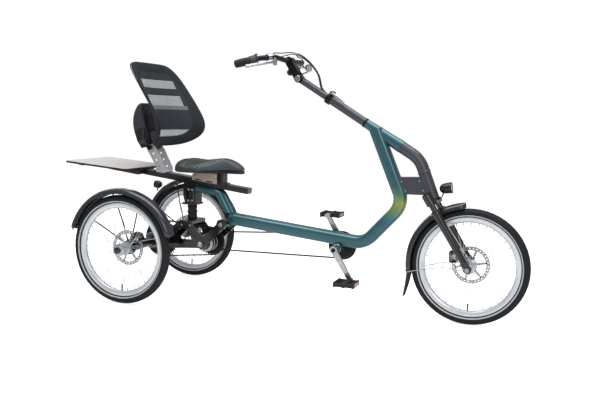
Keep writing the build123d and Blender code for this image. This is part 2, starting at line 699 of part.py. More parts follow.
bar_line = {hand: Vector(grip_start[0] - 664, hand * (grip_start[2] - 168), grip_start[1] - 1102).normalized()
            for hand in (-1, 1)}
clamp_mid = {hand: point(664, 1102, hand * 168) + bar_line[hand] * 32 for hand in (-1, 1)}
with BuildPart() as handlebar:
    right = [point(x, z, -y) for x, z, y in (grip_end, grip_start, (664, 1102, 168), (668, 1097, 70))]
    left = [point(x, z, y) for x, z, y in ((668, 1097, 70), (664, 1102, 168), grip_start, grip_end)]
    bent(right + left, [55, 60, 60, 60, 60, 55], BAR_R, 8.6)
    for hand in (-1, 1):
        mid = clamp_mid[hand]
        rod(mid - bar_line[hand] * 8, mid + bar_line[hand] * 8, 16)
        rod(mid + Vector(4, 0, -12), mid + Vector(26, 0, -18), 7)
        rod(mid + Vector(30, 0, -28), mid + Vector(30, 0, -8), 8)
        rod(mid + Vector(30, 0, -30), mid + Vector(30, 0, -6), 3 + FIT, mode=Mode.SUBTRACT)
save(handlebar, "handlebar")

for label, hand in (("right", -1), ("left", 1)):
    hinge = clamp_mid[hand] + Vector(30, 0, -18)
    with BuildPart() as lever:
        rod(hinge + Vector(0, 0, -13), hinge + Vector(0, 0, 13), 3)
        for low in (-13.5, 10.5):
            rod(hinge + Vector(0, 0, low), hinge + Vector(0, 0, low + 3), 8.5)
        for height in (-13.6, 13.6):
            rod(hinge + Vector(0, hand * 6, height), hinge + Vector(8, hand * 22, height), 3.2)
        rod(hinge + Vector(8, hand * 22, -15), hinge + Vector(8, hand * 22, 15), 5)
        bent([hinge + Vector(8, hand * 20, 0), hinge + Vector(4, hand * 44, -3),
              hinge + Vector(-34, hand * 84, -14), hinge + Vector(-78, hand * 118, -26)], [26, 60], 5)
        rod(hinge + Vector(-76, hand * 117, -25.5), hinge + Vector(-84, hand * 122, -28), 7)
    save(lever, f"{label}_brake_lever")

with BuildPart() as cables:
    for y, start in ((-4.2, clamp_mid[-1]), (4.2, clamp_mid[1])):
        hand = -1 if y < 0 else 1
        route = [
            start + Vector(12, -hand * 20, 22),
            point(662, 1126, hand * 90),
            point(690, 1134, hand * 34),
            point(745, 1112, y * 2.2),
            point(800, 1044, y * 1.4),
            on_column(538, -24, y * 1.1),
            on_column(505, -12.4, y * 0.75),
            on_column(440, -12.4, y * 0.75),
        ]
        bent(route, [34, 44, 60, 60, 36, 40], 2.2)
save(cables, "cables")

# ---------------------------------------------------------------- fork
CROWN_LOW = HEAD_BOTTOM - 20
with BuildPart() as fork_crown:
    rod(on_head(CROWN_LOW + 2), on_head(-60), 12)
    rod(on_head(-57), on_head(-38), 15)
    with BuildSketch(Plane(origin=on_head(CROWN_LOW), x_dir=(0, 1, 0), z_dir=(head_way[0], 0, head_way[1]))) as face:
        RectangleRounded(150, 44, 14)
    extrude(face.sketch, amount=18)
    for y in (-FORK_HALF, FORK_HALF):
        rod(on_leg(300, 0, y), on_leg(348, 0, y), 20)
        rod(on_leg(190, 0, y), on_leg(344, 0, y), 13)
save(fork_crown, "fork_crown")

with BuildPart() as headlamp:
    plate([(1352, 580), (1366, 598), (1406, 589), (1391, 555), (1368, 543)], -22, 22, 6)
    rod(point(1372, 548, 0), point(1357, 520, 0), 3)
save(headlamp, "headlamp")

with BuildPart() as fork_sliders:
    for y in (-FORK_HALF, FORK_HALF):
        cone(on_leg(30, 0, y), on_leg(262, 0, y), 14, 17.5)
        rod(on_leg(260, 0, y), on_leg(272, 0, y), 19)
        drum(FRONT_AXLE, y - 6, y + 6, 17)
        plate([(1478, 238), (1505, 256), (1488, 284), (1462, 268)], y - 6, y + 6)
        rod(on_leg(150, 0, y), on_leg(275, 0, y), 13 + FIT, mode=Mode.SUBTRACT)
    drum(FRONT_AXLE, -82, 82, 6)
    for y in (-82, 71):
        drum(FRONT_AXLE, y, y + 11, 10)
save(fork_sliders, "fork_sliders")

FRONT_FENDER_R = 271
with BuildPart() as front_fender:
    arch(FRONT_AXLE, 0, FRONT_FENDER_R, 96, 182, 30)
    plate([(1222, 236), (1226, 236), (1228, 170), (1222, 88), (1219, 88), (1222, 170)], -22, 22)
    for hand in (-1, 1):
        rod(point(WHEELBASE - 12, TYRE_R + 2, hand * 74), point(1236, 232, hand * 33), 2)
        rod(on_leg(262, 14, hand * 60), on_leg(262, 30, hand * 31), 3)
    add(fork_sliders.part, mode=Mode.SUBTRACT)
save(front_fender, "front_fender")

with BuildPart() as front_caliper:
    for low, high in ((FRONT_ROTOR_Y - 9, FRONT_ROTOR_Y - 2.2), (FRONT_ROTOR_Y + 2.2, FRONT_ROTOR_Y + 13)):
        plate([(1402, 248), (1434, 252), (1446, 284), (1426, 312), (1398, 296)], low, high, 7)
    drum((1406, 268), FRONT_ROTOR_Y - 5, FRONT_ROTOR_Y + 5, 4)
    drum((1404, 290), FRONT_ROTOR_Y - 5, FRONT_ROTOR_Y + 5, 4)
    plate([(1428, 262), (1470, 262), (1462, 290), (1430, 318)], FRONT_ROTOR_Y + 13, FRONT_ROTOR_Y + 18, 5)
    add(fork_sliders.part, mode=Mode.SUBTRACT)
save(front_caliper, "front_caliper")

# ---------------------------------------------------------------- seat
CHANNEL_BACK, CHANNEL_FRONT = 4, 390
PAN_LOW = 582  # underside of the saddle's pan, which is level
with BuildPart() as seat_channel:
    rail_box(CHANNEL_BACK, CHANNEL_FRONT, -18, 4, -27, 27, 1)
    rail_box(CHANNEL_BACK - 1, CHANNEL_FRONT + 1, -20, 0.3, -RAIL_W / 2 - 0.3, RAIL_W / 2 + 0.3, mode=Mode.SUBTRACT)
    plate([(333, 539), (353, 537), (353, PAN_LOW), (333, PAN_LOW)], -24, 24, 2)
save(seat_channel, "seat_channel")

with BuildPart() as saddle_bracket:
    for y in (-42, 38):
        plate([(201, 548.2), (330, 532.8), (330, PAN_LOW), (214, PAN_LOW), (201, 574)], y, y + 4, 2)
        for low in (237, 297):
            plate([(low, -1.5), (low + 34, -1.5), (low + 34, 3.8), (low, 3.8)], y - 1, y + 5, 1, rail_side, Mode.SUBTRACT)
    rail_box(256, 350, 4.2, 8, -39, 39, 1)
save(saddle_bracket, "saddle_bracket")

SADDLE_LOW, SADDLE_TOP = 596, 650
with BuildPart() as saddle:
    for outline, bends, low, high in (
        ([(145, -126), (240, -130), (350, -64), (452, -34), (452, 34), (350, 64), (240, 130), (145, 126)],
         [60, 60, 60, 32, 32, 60, 60, 60], SADDLE_LOW, SADDLE_TOP),
        ([(168, -96), (240, -100), (345, -42), (425, -24), (425, 24), (345, 42), (240, 100), (168, 96)],
         [40, 40, 40, 20, 20, 40, 40, 40], PAN_LOW + 0.2, SADDLE_LOW),
    ):
        with BuildSketch(Plane(origin=point(0, low))) as face:
            with BuildLine() as edge:
                FilletPolyline(*outline, radius=bends, close=True)
            make_face(edge.line)
        extrude(face.sketch, amount=high - low)
    plate([(372, 652), (460, 652), (460, 606)], -150, 150, mode=Mode.SUBTRACT)
save(saddle, "saddle")

shell_rows = (
    # height, edge x, centre x, half width
    (698, 96, 26, 150), (735, 130, 28, 196), (792, 140, 26, 210), (857, 117, 16, 211),
    (920, 78, 2, 209), (989, 30, -20, 201), (1045, -10, -38, 193), (1094, -50, -54, 182),
)
SHELL_T = 14
with BuildPart() as backrest_shell:
    for height, edge_x, centre_x, half in shell_rows:
        with BuildSketch(Plane(origin=point(0, height))) as row:
            with BuildLine() as edge:
                ThreePointArc((edge_x, -half), (centre_x, 0), (edge_x, half))
                Line((edge_x, half), (edge_x - SHELL_T, half))
                ThreePointArc((edge_x - SHELL_T, half), (centre_x - SHELL_T, 0), (edge_x - SHELL_T, -half))
                Line((edge_x - SHELL_T, -half), (edge_x, -half))
            make_face(edge.line)
    loft()
save(backrest_shell, "backrest_shell")

RECLINE = (-28, 692)
with BuildPart() as backrest_bracket:
    for y in (-36, 32):
        plate([(2, 576), (50, 571), (52, 596), (8, RECLINE[1] - 12), (-16, RECLINE[1] + 16), (-44, RECLINE[1] + 12), (-46, RECLINE[1] - 14), (0, 604)],
              y, y + 4, 4)
        for spot in ((20, 600), (2, 632), (-14, 662)):
            drum(spot, y - 1, y + 5, 5, mode=Mode.SUBTRACT)
        drum(RECLINE, y - 1, y + 5, 6 + FIT, mode=Mode.SUBTRACT)
    rail_box(22, 74, 4.2, 9, -36, 36, 1)
save(backrest_bracket, "backrest_bracket")

POST_LEAN = 76  # backrest post above the horizontal, rising backwards
post_side = climbing(RECLINE, (-cos(radians(POST_LEAN)), sin(radians(POST_LEAN))))


with BuildPart() as backrest_post:
    plate([(0, -8), (176, -8), (176, 8), (0, 8)], -26, 26, 0, post_side)
    drum(RECLINE, -31.5, 31.5, 14)
    drum(RECLINE, -41, 41, 6)
    for y in (-43, 37):
        drum(RECLINE, y, y + 6, 11)
save(backrest_post, "backrest_post")

with BuildPart() as lumbar_housing:
    plate([(20, 60), (90, 69), (153, 50), (192, 22), (262, -8), (256, -36), (40, -30)], -54, 54, 10, post_side)
    plate([(70, -26), (150, -26), (190, -60), (170, -90), (70, -90)], -38, 38, 0, post_side)
    add(backrest_shell.part, mode=Mode.SUBTRACT)
    plate([(10, -8.3), (238, -8.3), (238, 8.3), (10, 8.3)], -26.3, 26.3, 0, post_side, Mode.SUBTRACT)
    plate([(10, 14), (90, 14), (90, 62), (10, 54)], -46, 46, 6, post_side, Mode.SUBTRACT)
    plate([(111.7, 40), (134.3, 40), (134.3, 90), (111.7, 90)], -16.3, 16.3, 0, post_side, Mode.SUBTRACT)
lumbar_solid = lumbar_housing.part.solids().sort_by(SortBy.VOLUME)[-1]
with BuildPart() as lumbar_housing:
    add(lumbar_solid)
save(lumbar_housing, "lumbar_housing")

with BuildPart() as height_button:
    plate([(112, 44), (134, 44), (134, 62), (112, 66)], -16, 16, 2, post_side)
save(height_button, "height_button")
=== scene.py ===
"""Looks of an adult tricycle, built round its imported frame. Metres; X forward, Y left, Z up."""

from math import cos, pi, radians, sin

import bpy
import numpy as np
from mathutils import Matrix, Vector


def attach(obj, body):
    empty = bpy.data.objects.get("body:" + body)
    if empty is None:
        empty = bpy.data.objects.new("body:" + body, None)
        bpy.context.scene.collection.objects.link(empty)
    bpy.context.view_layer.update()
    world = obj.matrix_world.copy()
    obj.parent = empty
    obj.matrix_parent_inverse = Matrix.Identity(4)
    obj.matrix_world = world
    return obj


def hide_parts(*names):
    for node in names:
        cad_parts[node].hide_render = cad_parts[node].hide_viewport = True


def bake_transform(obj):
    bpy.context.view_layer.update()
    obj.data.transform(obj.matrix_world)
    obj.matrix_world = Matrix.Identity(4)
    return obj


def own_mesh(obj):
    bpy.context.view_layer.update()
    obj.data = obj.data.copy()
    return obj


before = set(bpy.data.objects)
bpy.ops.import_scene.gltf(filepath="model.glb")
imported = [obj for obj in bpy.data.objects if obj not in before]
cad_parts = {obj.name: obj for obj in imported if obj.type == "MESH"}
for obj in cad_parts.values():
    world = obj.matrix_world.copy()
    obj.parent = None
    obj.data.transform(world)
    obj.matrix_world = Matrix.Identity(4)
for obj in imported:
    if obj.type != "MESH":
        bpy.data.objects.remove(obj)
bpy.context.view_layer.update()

# ---------------------------------------------------------------- camera
# The camera stands at chest height to the right of the machine, a little ahead of its middle,
# turned back towards it and tilted slightly down.
stand, lens_length, far_end = (1.22171, -3.06631, 0.87099), 43.92, 200
yaw, pitch, roll = 0.36, 0.1187, 0.0209
look = Vector((-sin(yaw) * cos(pitch), cos(yaw) * cos(pitch), -sin(pitch)))
level = Vector((cos(yaw), sin(yaw), 0))
rise = level.cross(look)
across = level * cos(roll) + rise * sin(roll)
upward = rise * cos(roll) - level * sin(roll)
camera = bpy.data.objects.new("camera", bpy.data.cameras.new("camera"))
camera.data.lens = lens_length
camera.data.clip_end = far_end
turn = Matrix((across, upward, -look)).transposed().to_4x4()
camera.matrix_world = Matrix.Translation(stand) @ turn
bpy.context.scene.collection.objects.link(camera)
bpy.context.scene.camera = camera


# ---------------------------------------------------------------- floor and light
# A matte white studio floor, lit by an even white surround, a large soft box overhead, a softer
# one in front and one behind, so that painted tubes carry a bright band along their tops.
def linear(code):
    """An sRGB hex colour as linear RGBA."""
    parts = [int(code[i : i + 2], 16) / 255 for i in (1, 3, 5)]
    return (*(v / 12.92 if v <= 0.04045 else ((v + 0.055) / 1.055) ** 2.4 for v in parts), 1.0)


def add_node(tree, kind, sockets=None, **settings):
    """One node: settings are its properties, sockets its values or the outputs that feed it."""
    made = tree.nodes.new("ShaderNode" + kind)
    for name, value in settings.items():
        setattr(made, name, value)
    for name, value in (sockets or {}).items():
        if isinstance(value, bpy.types.NodeSocket):
            tree.links.new(value, made.inputs[name])
        else:
            made.inputs[name].default_value = value
    return made


def mapped(tree, value, source=(0.0, 1.0), result=(0.0, 1.0)):
    """A value carried from one range to another and kept inside it."""
    ends = zip(("From Min", "From Max", "To Min", "To Max"), (*source, *result))
    return add_node(tree, "MapRange", {"Value": value, **dict(ends)}).outputs["Result"]


def mixed(tree, share, first, second):
    """A colour between two others, by a share from 0 to 1."""
    colours = {0: share, 6: first, 7: second}
    return add_node(tree, "Mix", colours, data_type="RGBA").outputs[2]


def emboss(tree, shader, height, distance, strength=1.0):
    """Tilts the shading as a pattern of heights from 0 to a distance in metres would."""
    sockets = {"Height": height, "Distance": distance, "Strength": strength}
    relief = add_node(tree, "Bump", sockets)
    tree.links.new(relief.outputs["Normal"], shader.inputs["Normal"])


def blank(name, **sockets):
    """A material with one Principled shader, its sockets set to constants; returns the material,
    its node tree and the shader."""
    material = bpy.data.materials.new(name)
    material.use_nodes = True
    shader = material.node_tree.nodes["Principled BSDF"]
    for socket, value in sockets.items():
        shader.inputs[socket.replace("_", " ")].default_value = value
    return material, material.node_tree, shader


def finish(name, shade, drift, patch, rough, grain=0.0, depth=0.0, **constants):
    """A finish whose colour drifts between two shades in patches of a size in millimetres, whose
    roughness drifts with it, and whose surface has grain of a size and depth in millimetres."""
    material, tree, shader = blank(name, **constants)
    place = add_node(tree, "TexCoord").outputs["Object"]
    cloud = {"Vector": place, "Scale": 1000 / patch, "Detail": 5.0}
    patches = add_node(tree, "TexNoise", cloud).outputs["Fac"]
    tint = mixed(tree, mapped(tree, patches, (0.3, 0.7)), linear(shade), linear(drift))
    tree.links.new(tint, shader.inputs["Base Color"])
    sheen = mapped(tree, patches, result=(rough - 0.07, rough + 0.07))
    tree.links.new(sheen, shader.inputs["Roughness"])
    if grain:
        pits = add_node(tree, "TexNoise", {"Vector": place, "Scale": 1000 / grain, "Detail": 2.0})
        emboss(tree, shader, pits.outputs["Fac"], depth / 1000)
    return material


WHITE = (1, 1, 1, 1)
SURROUND, SURROUND_SEEN, FLOOR_SEEN = 0.34, 1.02, 0.74
FLOOR_HALF = 40
scene = bpy.context.scene
scene.view_settings.view_transform = "Standard"
scene.world = bpy.data.worlds.new("surround")
scene.world.use_nodes = True
surround = scene.world.node_tree
seen = add_node(surround, "LightPath").outputs["Is Camera Ray"]
glow = mapped(surround, seen, result=(SURROUND, SURROUND_SEEN))
surround.links.new(glow, surround.nodes["Background"].inputs["Strength"])
surround.nodes["Background"].inputs["Color"].default_value = WHITE

# Painted studio floor: matte and even, so it takes a soft shadow and no reflection.
floor_finish = finish("studio_floor", "#f4f4f3", "#efefee", 900, 0.7)
tree = floor_finish.node_tree
shader = tree.nodes["Principled BSDF"]
seen = add_node(tree, "LightPath").outputs["Is Camera Ray"]
shader.inputs["Emission Color"].default_value = WHITE
tree.links.new(mapped(tree, seen, result=(0, FLOOR_SEEN)), shader.inputs["Emission Strength"])
corners = [(x * FLOOR_HALF, y * FLOOR_HALF, 0) for x, y in ((-1, -1), (1, -1), (1, 1), (-1, 1))]
floor_mesh = bpy.data.meshes.new("floor")
floor_mesh.from_pydata(corners, [], [(0, 1, 2, 3)])
floor_mesh.materials.append(floor_finish)
floor = bpy.data.objects.new("floor", floor_mesh)
scene.collection.objects.link(floor)

MIDDLE = Vector((0, 0, 0.45))
for name, place, size, watts in (
    ("overhead_box", (0.2, -0.4, 3.6), (4.4, 2.2), 125),
    ("front_box", (2.6, -3.6, 2.4), (2.4, 2.0), 42),
    ("rear_box", (-3.2, 2.4, 2.2), (2.0, 1.6), 30),
):
    lamp = bpy.data.objects.new(name, bpy.data.lights.new(name, "AREA"))
    lamp.data.shape = "RECTANGLE"
    lamp.data.size, lamp.data.size_y = size
    lamp.data.energy = watts
    lamp.location = place
    lamp.rotation_mode = "QUATERNION"
    lamp.rotation_quaternion = (MIDDLE - Vector(place)).to_track_quat("-Z", "Y")
    scene.collection.objects.link(lamp)

# ---------------------------------------------------------------- painted frame
# The frame is welded aluminium tube under a petrol powder coat with a fine metal flake and a clear
# satin lacquer; the front of the down tube fades to yellow-green.
CRANK_AXLE = (918, 280)
ORIGIN_AHEAD = 661.15


def spot(x, z, y=0.0):
    """Places given in millimetres ahead of the rear axle, above the ground and to the left."""
    return np.stack(np.broadcast_arrays((x - ORIGIN_AHEAD) / 1000, y / 1000, z / 1000), -1)


def coat(material, *names):
    """Gives CAD pieces a material."""
    for name in names:
        for material_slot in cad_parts[name].material_slots:
            material_slot.material = material


# Petrol powder coat under lacquer: flake glitters faintly and the clear coat adds a sharp edge to
# the bright band along each tube.
petrol = finish(
    "petrol_powder_coat", "#35606a", "#3d6b73", 160, 0.36, 0.9, 0.012,
    Metallic=0.6, Coat_Weight=0.6, Coat_Roughness=0.2,
)
coat(petrol, "main_beam", "column_sleeve", "seat_stays")

# Sprayed fade: petrol turns to lime and back without an edge, under the same lacquer.
FADE_HEIGHTS = (0.40, 0.62)
FADE_SHADES = (
    (0.1, "#357078"), (0.26, "#6f8f66"), (0.44, "#9aaa62"), (0.62, "#55806f"), (0.78, "#38646e")
)
fade, tree, shader = blank(
    "petrol_to_lime_fade", Metallic=0.5, Roughness=0.34, Coat_Weight=0.55, Coat_Roughness=0.16
)
place = add_node(tree, "TexCoord").outputs["Object"]
height = add_node(tree, "SeparateXYZ", {"Vector": place}).outputs["Z"]
rising = add_node(tree, "ValToRGB", {"Fac": mapped(tree, height, FADE_HEIGHTS)})
ramp = rising.color_ramp
ramp.elements[0].color, ramp.elements[1].color = linear("#2c6484"), linear("#38646e")
for share, shade in FADE_SHADES:
    ramp.elements.new(share).color = linear(shade)
tree.links.new(rising.outputs["Color"], shader.inputs["Base Color"])
coat(fade, "down_tube")


def unit(v):
    """A vector of the same direction and length 1, row by row."""
    v = np.asarray(v, float)
    return v / np.linalg.norm(v, axis=-1, keepdims=True)


def around(count):
    """Evenly spaced angles round a circle, the last one short of the first."""
    return np.linspace(0, 2 * pi, count, endpoint=False)


def skin(grid, close_rows=False, close_columns=False, lids=False):
    """Quads between neighbouring points of a grid, and a flat lid over its first and last row."""
    rows, columns = grid.shape[:2]
    r = np.arange(rows if close_rows else rows - 1)[:, None]
    c = np.arange(columns if close_columns else columns - 1)[None, :]
    here, after, beside = r * columns, (r + 1) % rows * columns, (c + 1) % columns
    quads = np.stack([here + c, here + beside, after + beside, after + c], -1)
    faces = quads.reshape(-1, 4).tolist()
    if lids:
        faces += [list(range(columns))[::-1], list(range((rows - 1) * columns, rows * columns))]
    return grid.reshape(-1, 3), faces


def outward(shape):
    """The shape with its faces outwards: the volume summed over their triangles is positive."""
    points, faces = shape
    fans = np.array([(f[0], f[i], f[i + 1]) for f in faces for i in range(1, len(f) - 1)])
    a, b, c = points[fans].transpose(1, 0, 2)
    volume = np.einsum("ij,ij->", a, np.cross(b, c))
    return shape if volume > 0 else (points, [f[::-1] for f in faces])


def together(shapes):
    """Several closed shapes as one."""
    points, faces, start = [], [], 0
    for some_points, some_faces in map(outward, shapes):
        points.append(some_points)
        faces += [[start + i for i in face] for face in some_faces]
        start += len(some_points)
    return np.concatenate(points), faces


def solid_mesh(name, shape, material):
    """An object with the mesh of a shape, smooth all over."""
    mesh = bpy.data.meshes.new(name)
    mesh.from_pydata(shape[0].tolist(), [], shape[1])
    mesh.shade_smooth()
    mesh.materials.append(material)
    made = bpy.data.objects.new(name, mesh)
    scene.collection.objects.link(made)
    return made


def piece(name, shape, body, material, nodes=(), crease=38):
    """A mesh of a shape, or of a list of closed ones, smooth except across creases sharper than an
    angle, riding on a body."""
    made = solid_mesh(name, together(shape) if isinstance(shape, list) else shape, material)
    made.data.set_sharp_from_angle(angle=radians(crease))
    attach(made, body)
    if nodes:
        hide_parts(*nodes)
    return made


def turned(profile, centre, axis=(0, 1, 0), steps=48, solid=True):
    """A profile of (distance along an axis, radius), in millimetres, carried round it: a point is
    centre + axis * distance + radius * (cos a * first + sin a * second). A solid one gets lids on
    its ends, and a ring's profile is a closed loop."""
    profile = np.asarray(profile, float) / 1000
    axis = unit(axis)
    first = unit(np.cross(axis, (0.3, 0.2, 1.0) if abs(axis[2]) < 0.9 else (1, 0, 0)))
    second = np.cross(axis, first)
    a = around(steps)[None, :, None]
    spokes = np.cos(a) * first + np.sin(a) * second
    grid = np.asarray(centre) + profile[:, None, :1] * axis + profile[:, None, 1:] * spokes
    return skin(grid, not solid, True, solid)


def both_sides(profile, x, z, y, steps=48):
    """The same turned profile on either side of the middle plane, each facing away from it."""
    return [turned(profile, spot(x, z, hand * y), (0, hand, 0), steps) for hand in (-1, 1)]


# Stainless steel, turned and brushed: bright and cool, with slightly blurred reflections.
stainless = finish("stainless_steel", "#b9bcc0", "#a3a6aa", 30, 0.27, Metallic=1.0)
cup = [(0, 20.6), (3, 20.6), (4.2, 19.6), (4.2, 10), (2, 9.5)]
cups = both_sides(cup, *CRANK_AXLE, 34)
piece("bottom_bracket_cups", cups, "frame", stainless)

# ---------------------------------------------------------------- head, column and bridge
# The bend, head tube, bridge and telescoping column are aluminium under an anthracite powder coat;
# the joints are closed with turned rings.
# Anthracite powder coat: a fine orange peel and a soft sheen, nearly without colour.
anthracite = finish(
    "anthracite_powder_coat", "#4b4e57", "#42454d", 120, 0.4, 0.9, 0.014,
    Metallic=0.35, Coat_Weight=0.35, Coat_Roughness=0.25,
)
coat(anthracite, "joint_cover", "head_tube", "column_tube", "stem_post")
COLUMN_ANGLE, HEAD_ANGLE = radians(31.2), radians(68.4)
COLUMN = unit((-cos(COLUMN_ANGLE), 0, sin(COLUMN_ANGLE)))
HEAD = unit((-cos(HEAD_ANGLE), 0, sin(HEAD_ANGLE)))
JOINT = spot(1264.5, 687)
COLUMN_BELOW = np.array((-COLUMN[2], 0, COLUMN[0]))


def on_column(distance, below=0.0, y=0.0):
    """A place up the column from the bend, and below its axis, in millimetres."""
    return JOINT + (COLUMN * distance + COLUMN_BELOW * below) / 1000 + (0, y / 1000, 0)


def bolt(place, axis, radius, height):
    """A socket head screw: a turned head with a chamfer and a round recess."""
    sides = [(0, 1), (0.8, 1), (1, 0.84), (1, 0.5), (0.45, 0.45)]
    return turned([(height * up, radius * out) for up, out in sides], place, axis, 20)


# Black anodised aluminium: near black with a metal's tinted sheen on its edges.
black_alloy = finish(
    "black_anodised_aluminium", "#17181b", "#202126", 60, 0.33, 0.5, 0.01, Metallic=0.6
)
seal = [(0, 20.4), (1, 21.6), (7, 21.6), (8, 20.4), (8, 19.2), (0, 19.2)]
seal_ring = turned(seal, on_column(278), COLUMN, solid=False)
piece("column_seal", seal_ring, "column", black_alloy)
race = [(0, 26.6), (1.4, 28), (6.6, 28), (8, 26.6), (8, 24), (0, 24)]
for name, down, metal in (
    ("lower_head_race", 0.1835, black_alloy),
    ("bend_ring", 0.062, anthracite),
):
    piece(name, turned(race, JOINT - HEAD * down, HEAD, solid=False), "frame", metal)
cover_places = ((1196, 590), (1272, 596), (1214, 550), (1290, 556))
cover_screws = [bolt(spot(x, z, -24), (0, -1, 0), 3.4, 2.4) for x, z in cover_places]
piece("bridge_screws", cover_screws, "frame", stainless)

# ---------------------------------------------------------------- column clamp
# A split aluminium collar with a steel cam lever closes the column on the post.
# Polished aluminium: a clear, slightly warm mirror with soft edges.
bright_alloy = finish("polished_aluminium", "#c9ccd1", "#b4b8bd", 40, 0.22, Metallic=1.0)
coat(black_alloy, "clamp_collar")
coat(bright_alloy, "clamp_lever")


def ring(radius, count=12, tall=None):
    """A circle, or an ellipse with its own height, as (across, up) offsets in millimetres."""
    a = around(count)
    return np.column_stack([radius * np.cos(a), (tall or radius) * np.sin(a)])


def swept(path, section, up=(0, 0, 1), swell=1.0):
    """A closed section, in millimetres, carried along a path: a point is path + across * side +
    up * lift, where side is up x tangent and lift is tangent x side, both scaled by a swell per
    station."""
    path = np.asarray(path, float)
    tangent = unit(np.gradient(path, axis=0))
    side = unit(np.cross(up, tangent))
    lift = np.cross(tangent, side)
    size = (np.ones(len(path)) * swell)[:, None, None] / 1000
    offsets = section[None, :, :1] * side[:, None] + section[None, :, 1:] * lift[:, None]
    return skin(path[:, None] + size * offsets, False, True, True)


def through(points, count):
    """A smooth line through points: between two of them it is the Catmull-Rom cubic of the four
    nearest."""
    p = np.asarray(points, float)
    p = np.concatenate([[2 * p[0] - p[1]], p, [2 * p[-1] - p[-2]]])
    t = np.linspace(0, len(p) - 3, count)
    i = np.minimum(t.astype(int), len(p) - 4)
    f = (t - i)[:, None]
    a, b, c, d = (p[i + k] for k in range(4))
    square, cube = 2 * a - 5 * b + 4 * c - d, 3 * b - a - 3 * c + d
    return 0.5 * (2 * b + (c - a) * f + square * f**2 + cube * f**3)


stations = 14
places = ((474, -30, -24), (455, -28.5, -25), (430, -26.5, -25), (404, -25, -24))
paddle_path = through([on_column(*place) for place in places], stations)
paddle_size = np.interp(np.linspace(0, 1, stations), [0, 0.3, 0.9, 1], [0.8, 1.0, 1.25, 0.7])
paddle = swept(paddle_path, ring(5.6, 14, 3.2), (0, 1, 0), paddle_size)
piece("clamp_paddle", [paddle], "clamp_lever", bright_alloy)

# ---------------------------------------------------------------- stem and bar
# The stem's two cheeks and the bar are black anodised aluminium; a polished disc covers the tilt
# bolt, and four screws hold the bar's cap.
coat(black_alloy, "stem", "handlebar")
TILT = on_column(643)
BAR = spot(668, 1097)
cover = [(0, 13.4), (1.6, 13.4), (2.8, 12), (2.8, 5.4), (1.2, 5)]
discs = [turned(cover, TILT + (0, hand * 0.0255, 0), (0, hand, 0), 40) for hand in (-1, 1)]
piece("tilt_bolt_covers", discs, "stem", bright_alloy)
ahead = unit(BAR - TILT)
cap_at = BAR + ahead * 0.0165
cap_places = [(0, y, z) for y in (-0.014, 0.014) for z in (-0.008, 0.008)]
cap_screws = [bolt(cap_at + np.array(place), ahead, 3, 3) for place in cap_places]
piece("bar_cap_screws", cap_screws, "stem", stainless)

# ---------------------------------------------------------------- grips and shifter
# Moulded rubber grips with raised rings and a swollen palm, closed by an end plug; the right one
# is shorter and meets a twist shifter with finger ridges.
# Grip rubber, moulded: dull black that hardly mirrors anything.
grip_rubber = finish(
    "grip_rubber", "#1b1c1d", "#232425", 18, 0.62, 0.6, 0.03, Specular_IOR_Level=0.35
)
# Moulded plastic of the shifter: dark violet grey with a broad, weak highlight.
shifter_plastic = finish("shifter_plastic", "#3b3a46", "#33333d", 25, 0.42, 0.4, 0.01)
GRIP_IN, GRIP_OUT = (624, 1092, 236), (548, 1064, 302)
GRIP_LENGTH, RIB_PITCH = 104.5, 5.5
SHIFTER_LENGTH, SHIFTER_R, RIDGE, RIDGES = 30.3, 17.6, 0.8, 12


def grip_place(share, hand):
    """A place along a grip's axis, from its inner end to its outer end."""
    x, z, y = (a + (b - a) * share for a, b in zip(GRIP_IN, GRIP_OUT))
    return spot(x, z, hand * y)


def rod(start, end, radius, count=10):
    """A straight round bar between two points."""
    start, end = np.asarray(start, float), np.asarray(end, float)
    up = (0, 0, 1) if abs(unit(end - start)[2]) < 0.9 else (1, 0, 0)
    return swept(np.stack([start, (start + end) / 2, end]), ring(radius, count), up)


for hand, inner, label in ((-1, 0.44, "right"), (1, 0.14, "left")):
    axis = unit(grip_place(1, hand) - grip_place(0, hand))
    length = GRIP_LENGTH * (1.04 - inner)
    t = np.linspace(0, 1, 90)
    ribs = 0.45 * np.sign(np.sin(2 * pi * t * length / RIB_PITCH)) * (t > 0.08) * (t < 0.92)
    swell = 15.2 + 1.5 * np.sin(pi * t) ** 0.7 + ribs
    swell = np.where(t > 0.97, swell - 3.2 * (t - 0.97) / 0.03, swell)
    grip = turned(np.column_stack([t * length, swell]), grip_place(inner, hand), axis, 36)
    nodes = ("grips",) if hand == 1 else ()
    piece(f"{label}_grip", grip, "stem", grip_rubber, nodes)
axis = unit(grip_place(1, -1) - grip_place(0, -1))
a = around(96)[None, :, None]
along = np.linspace(0, SHIFTER_LENGTH, 14)[:, None, None]
first = unit(np.cross(axis, (0, 0, 1)))
second = np.cross(axis, first)
ends = np.interp(along, [0, 1.5, SHIFTER_LENGTH - 1.5, SHIFTER_LENGTH], [0.93, 1, 1, 0.93])
ridges = RIDGE * np.cos(RIDGES * a) * np.interp(along, [3, 6, 26, 29], [0, 1, 1, 0])
reach = (SHIFTER_R + ridges) * ends
spokes = np.cos(a) * first + np.sin(a) * second
grid = grip_place(0.14, -1) + (along * axis + reach * spokes) / 1000
collar = turned([(0, 19.5), (1.2, 21.4), (5.2, 21.4), (6.4, 19.8)], grip_place(0.11, -1), axis)
piece(
    "shifter_shell", [skin(grid, False, True, True), collar],
    "gear_shifter", shifter_plastic, ("gear_shifter",),
)
# Smoked polycarbonate: dark and glossy, with one small sharp highlight.
smoked = finish("smoked_window", "#2b3036", "#30363c", 30, 0.08, IOR=1.58, Coat_Weight=0.5)
window_at = grip_place(0.14, -1) + (0, 0, 0.0186)
window = rod(window_at - axis * 0.004, window_at + axis * 0.004, 5, 16)
piece("shifter_window", [window], "gear_shifter", smoked)

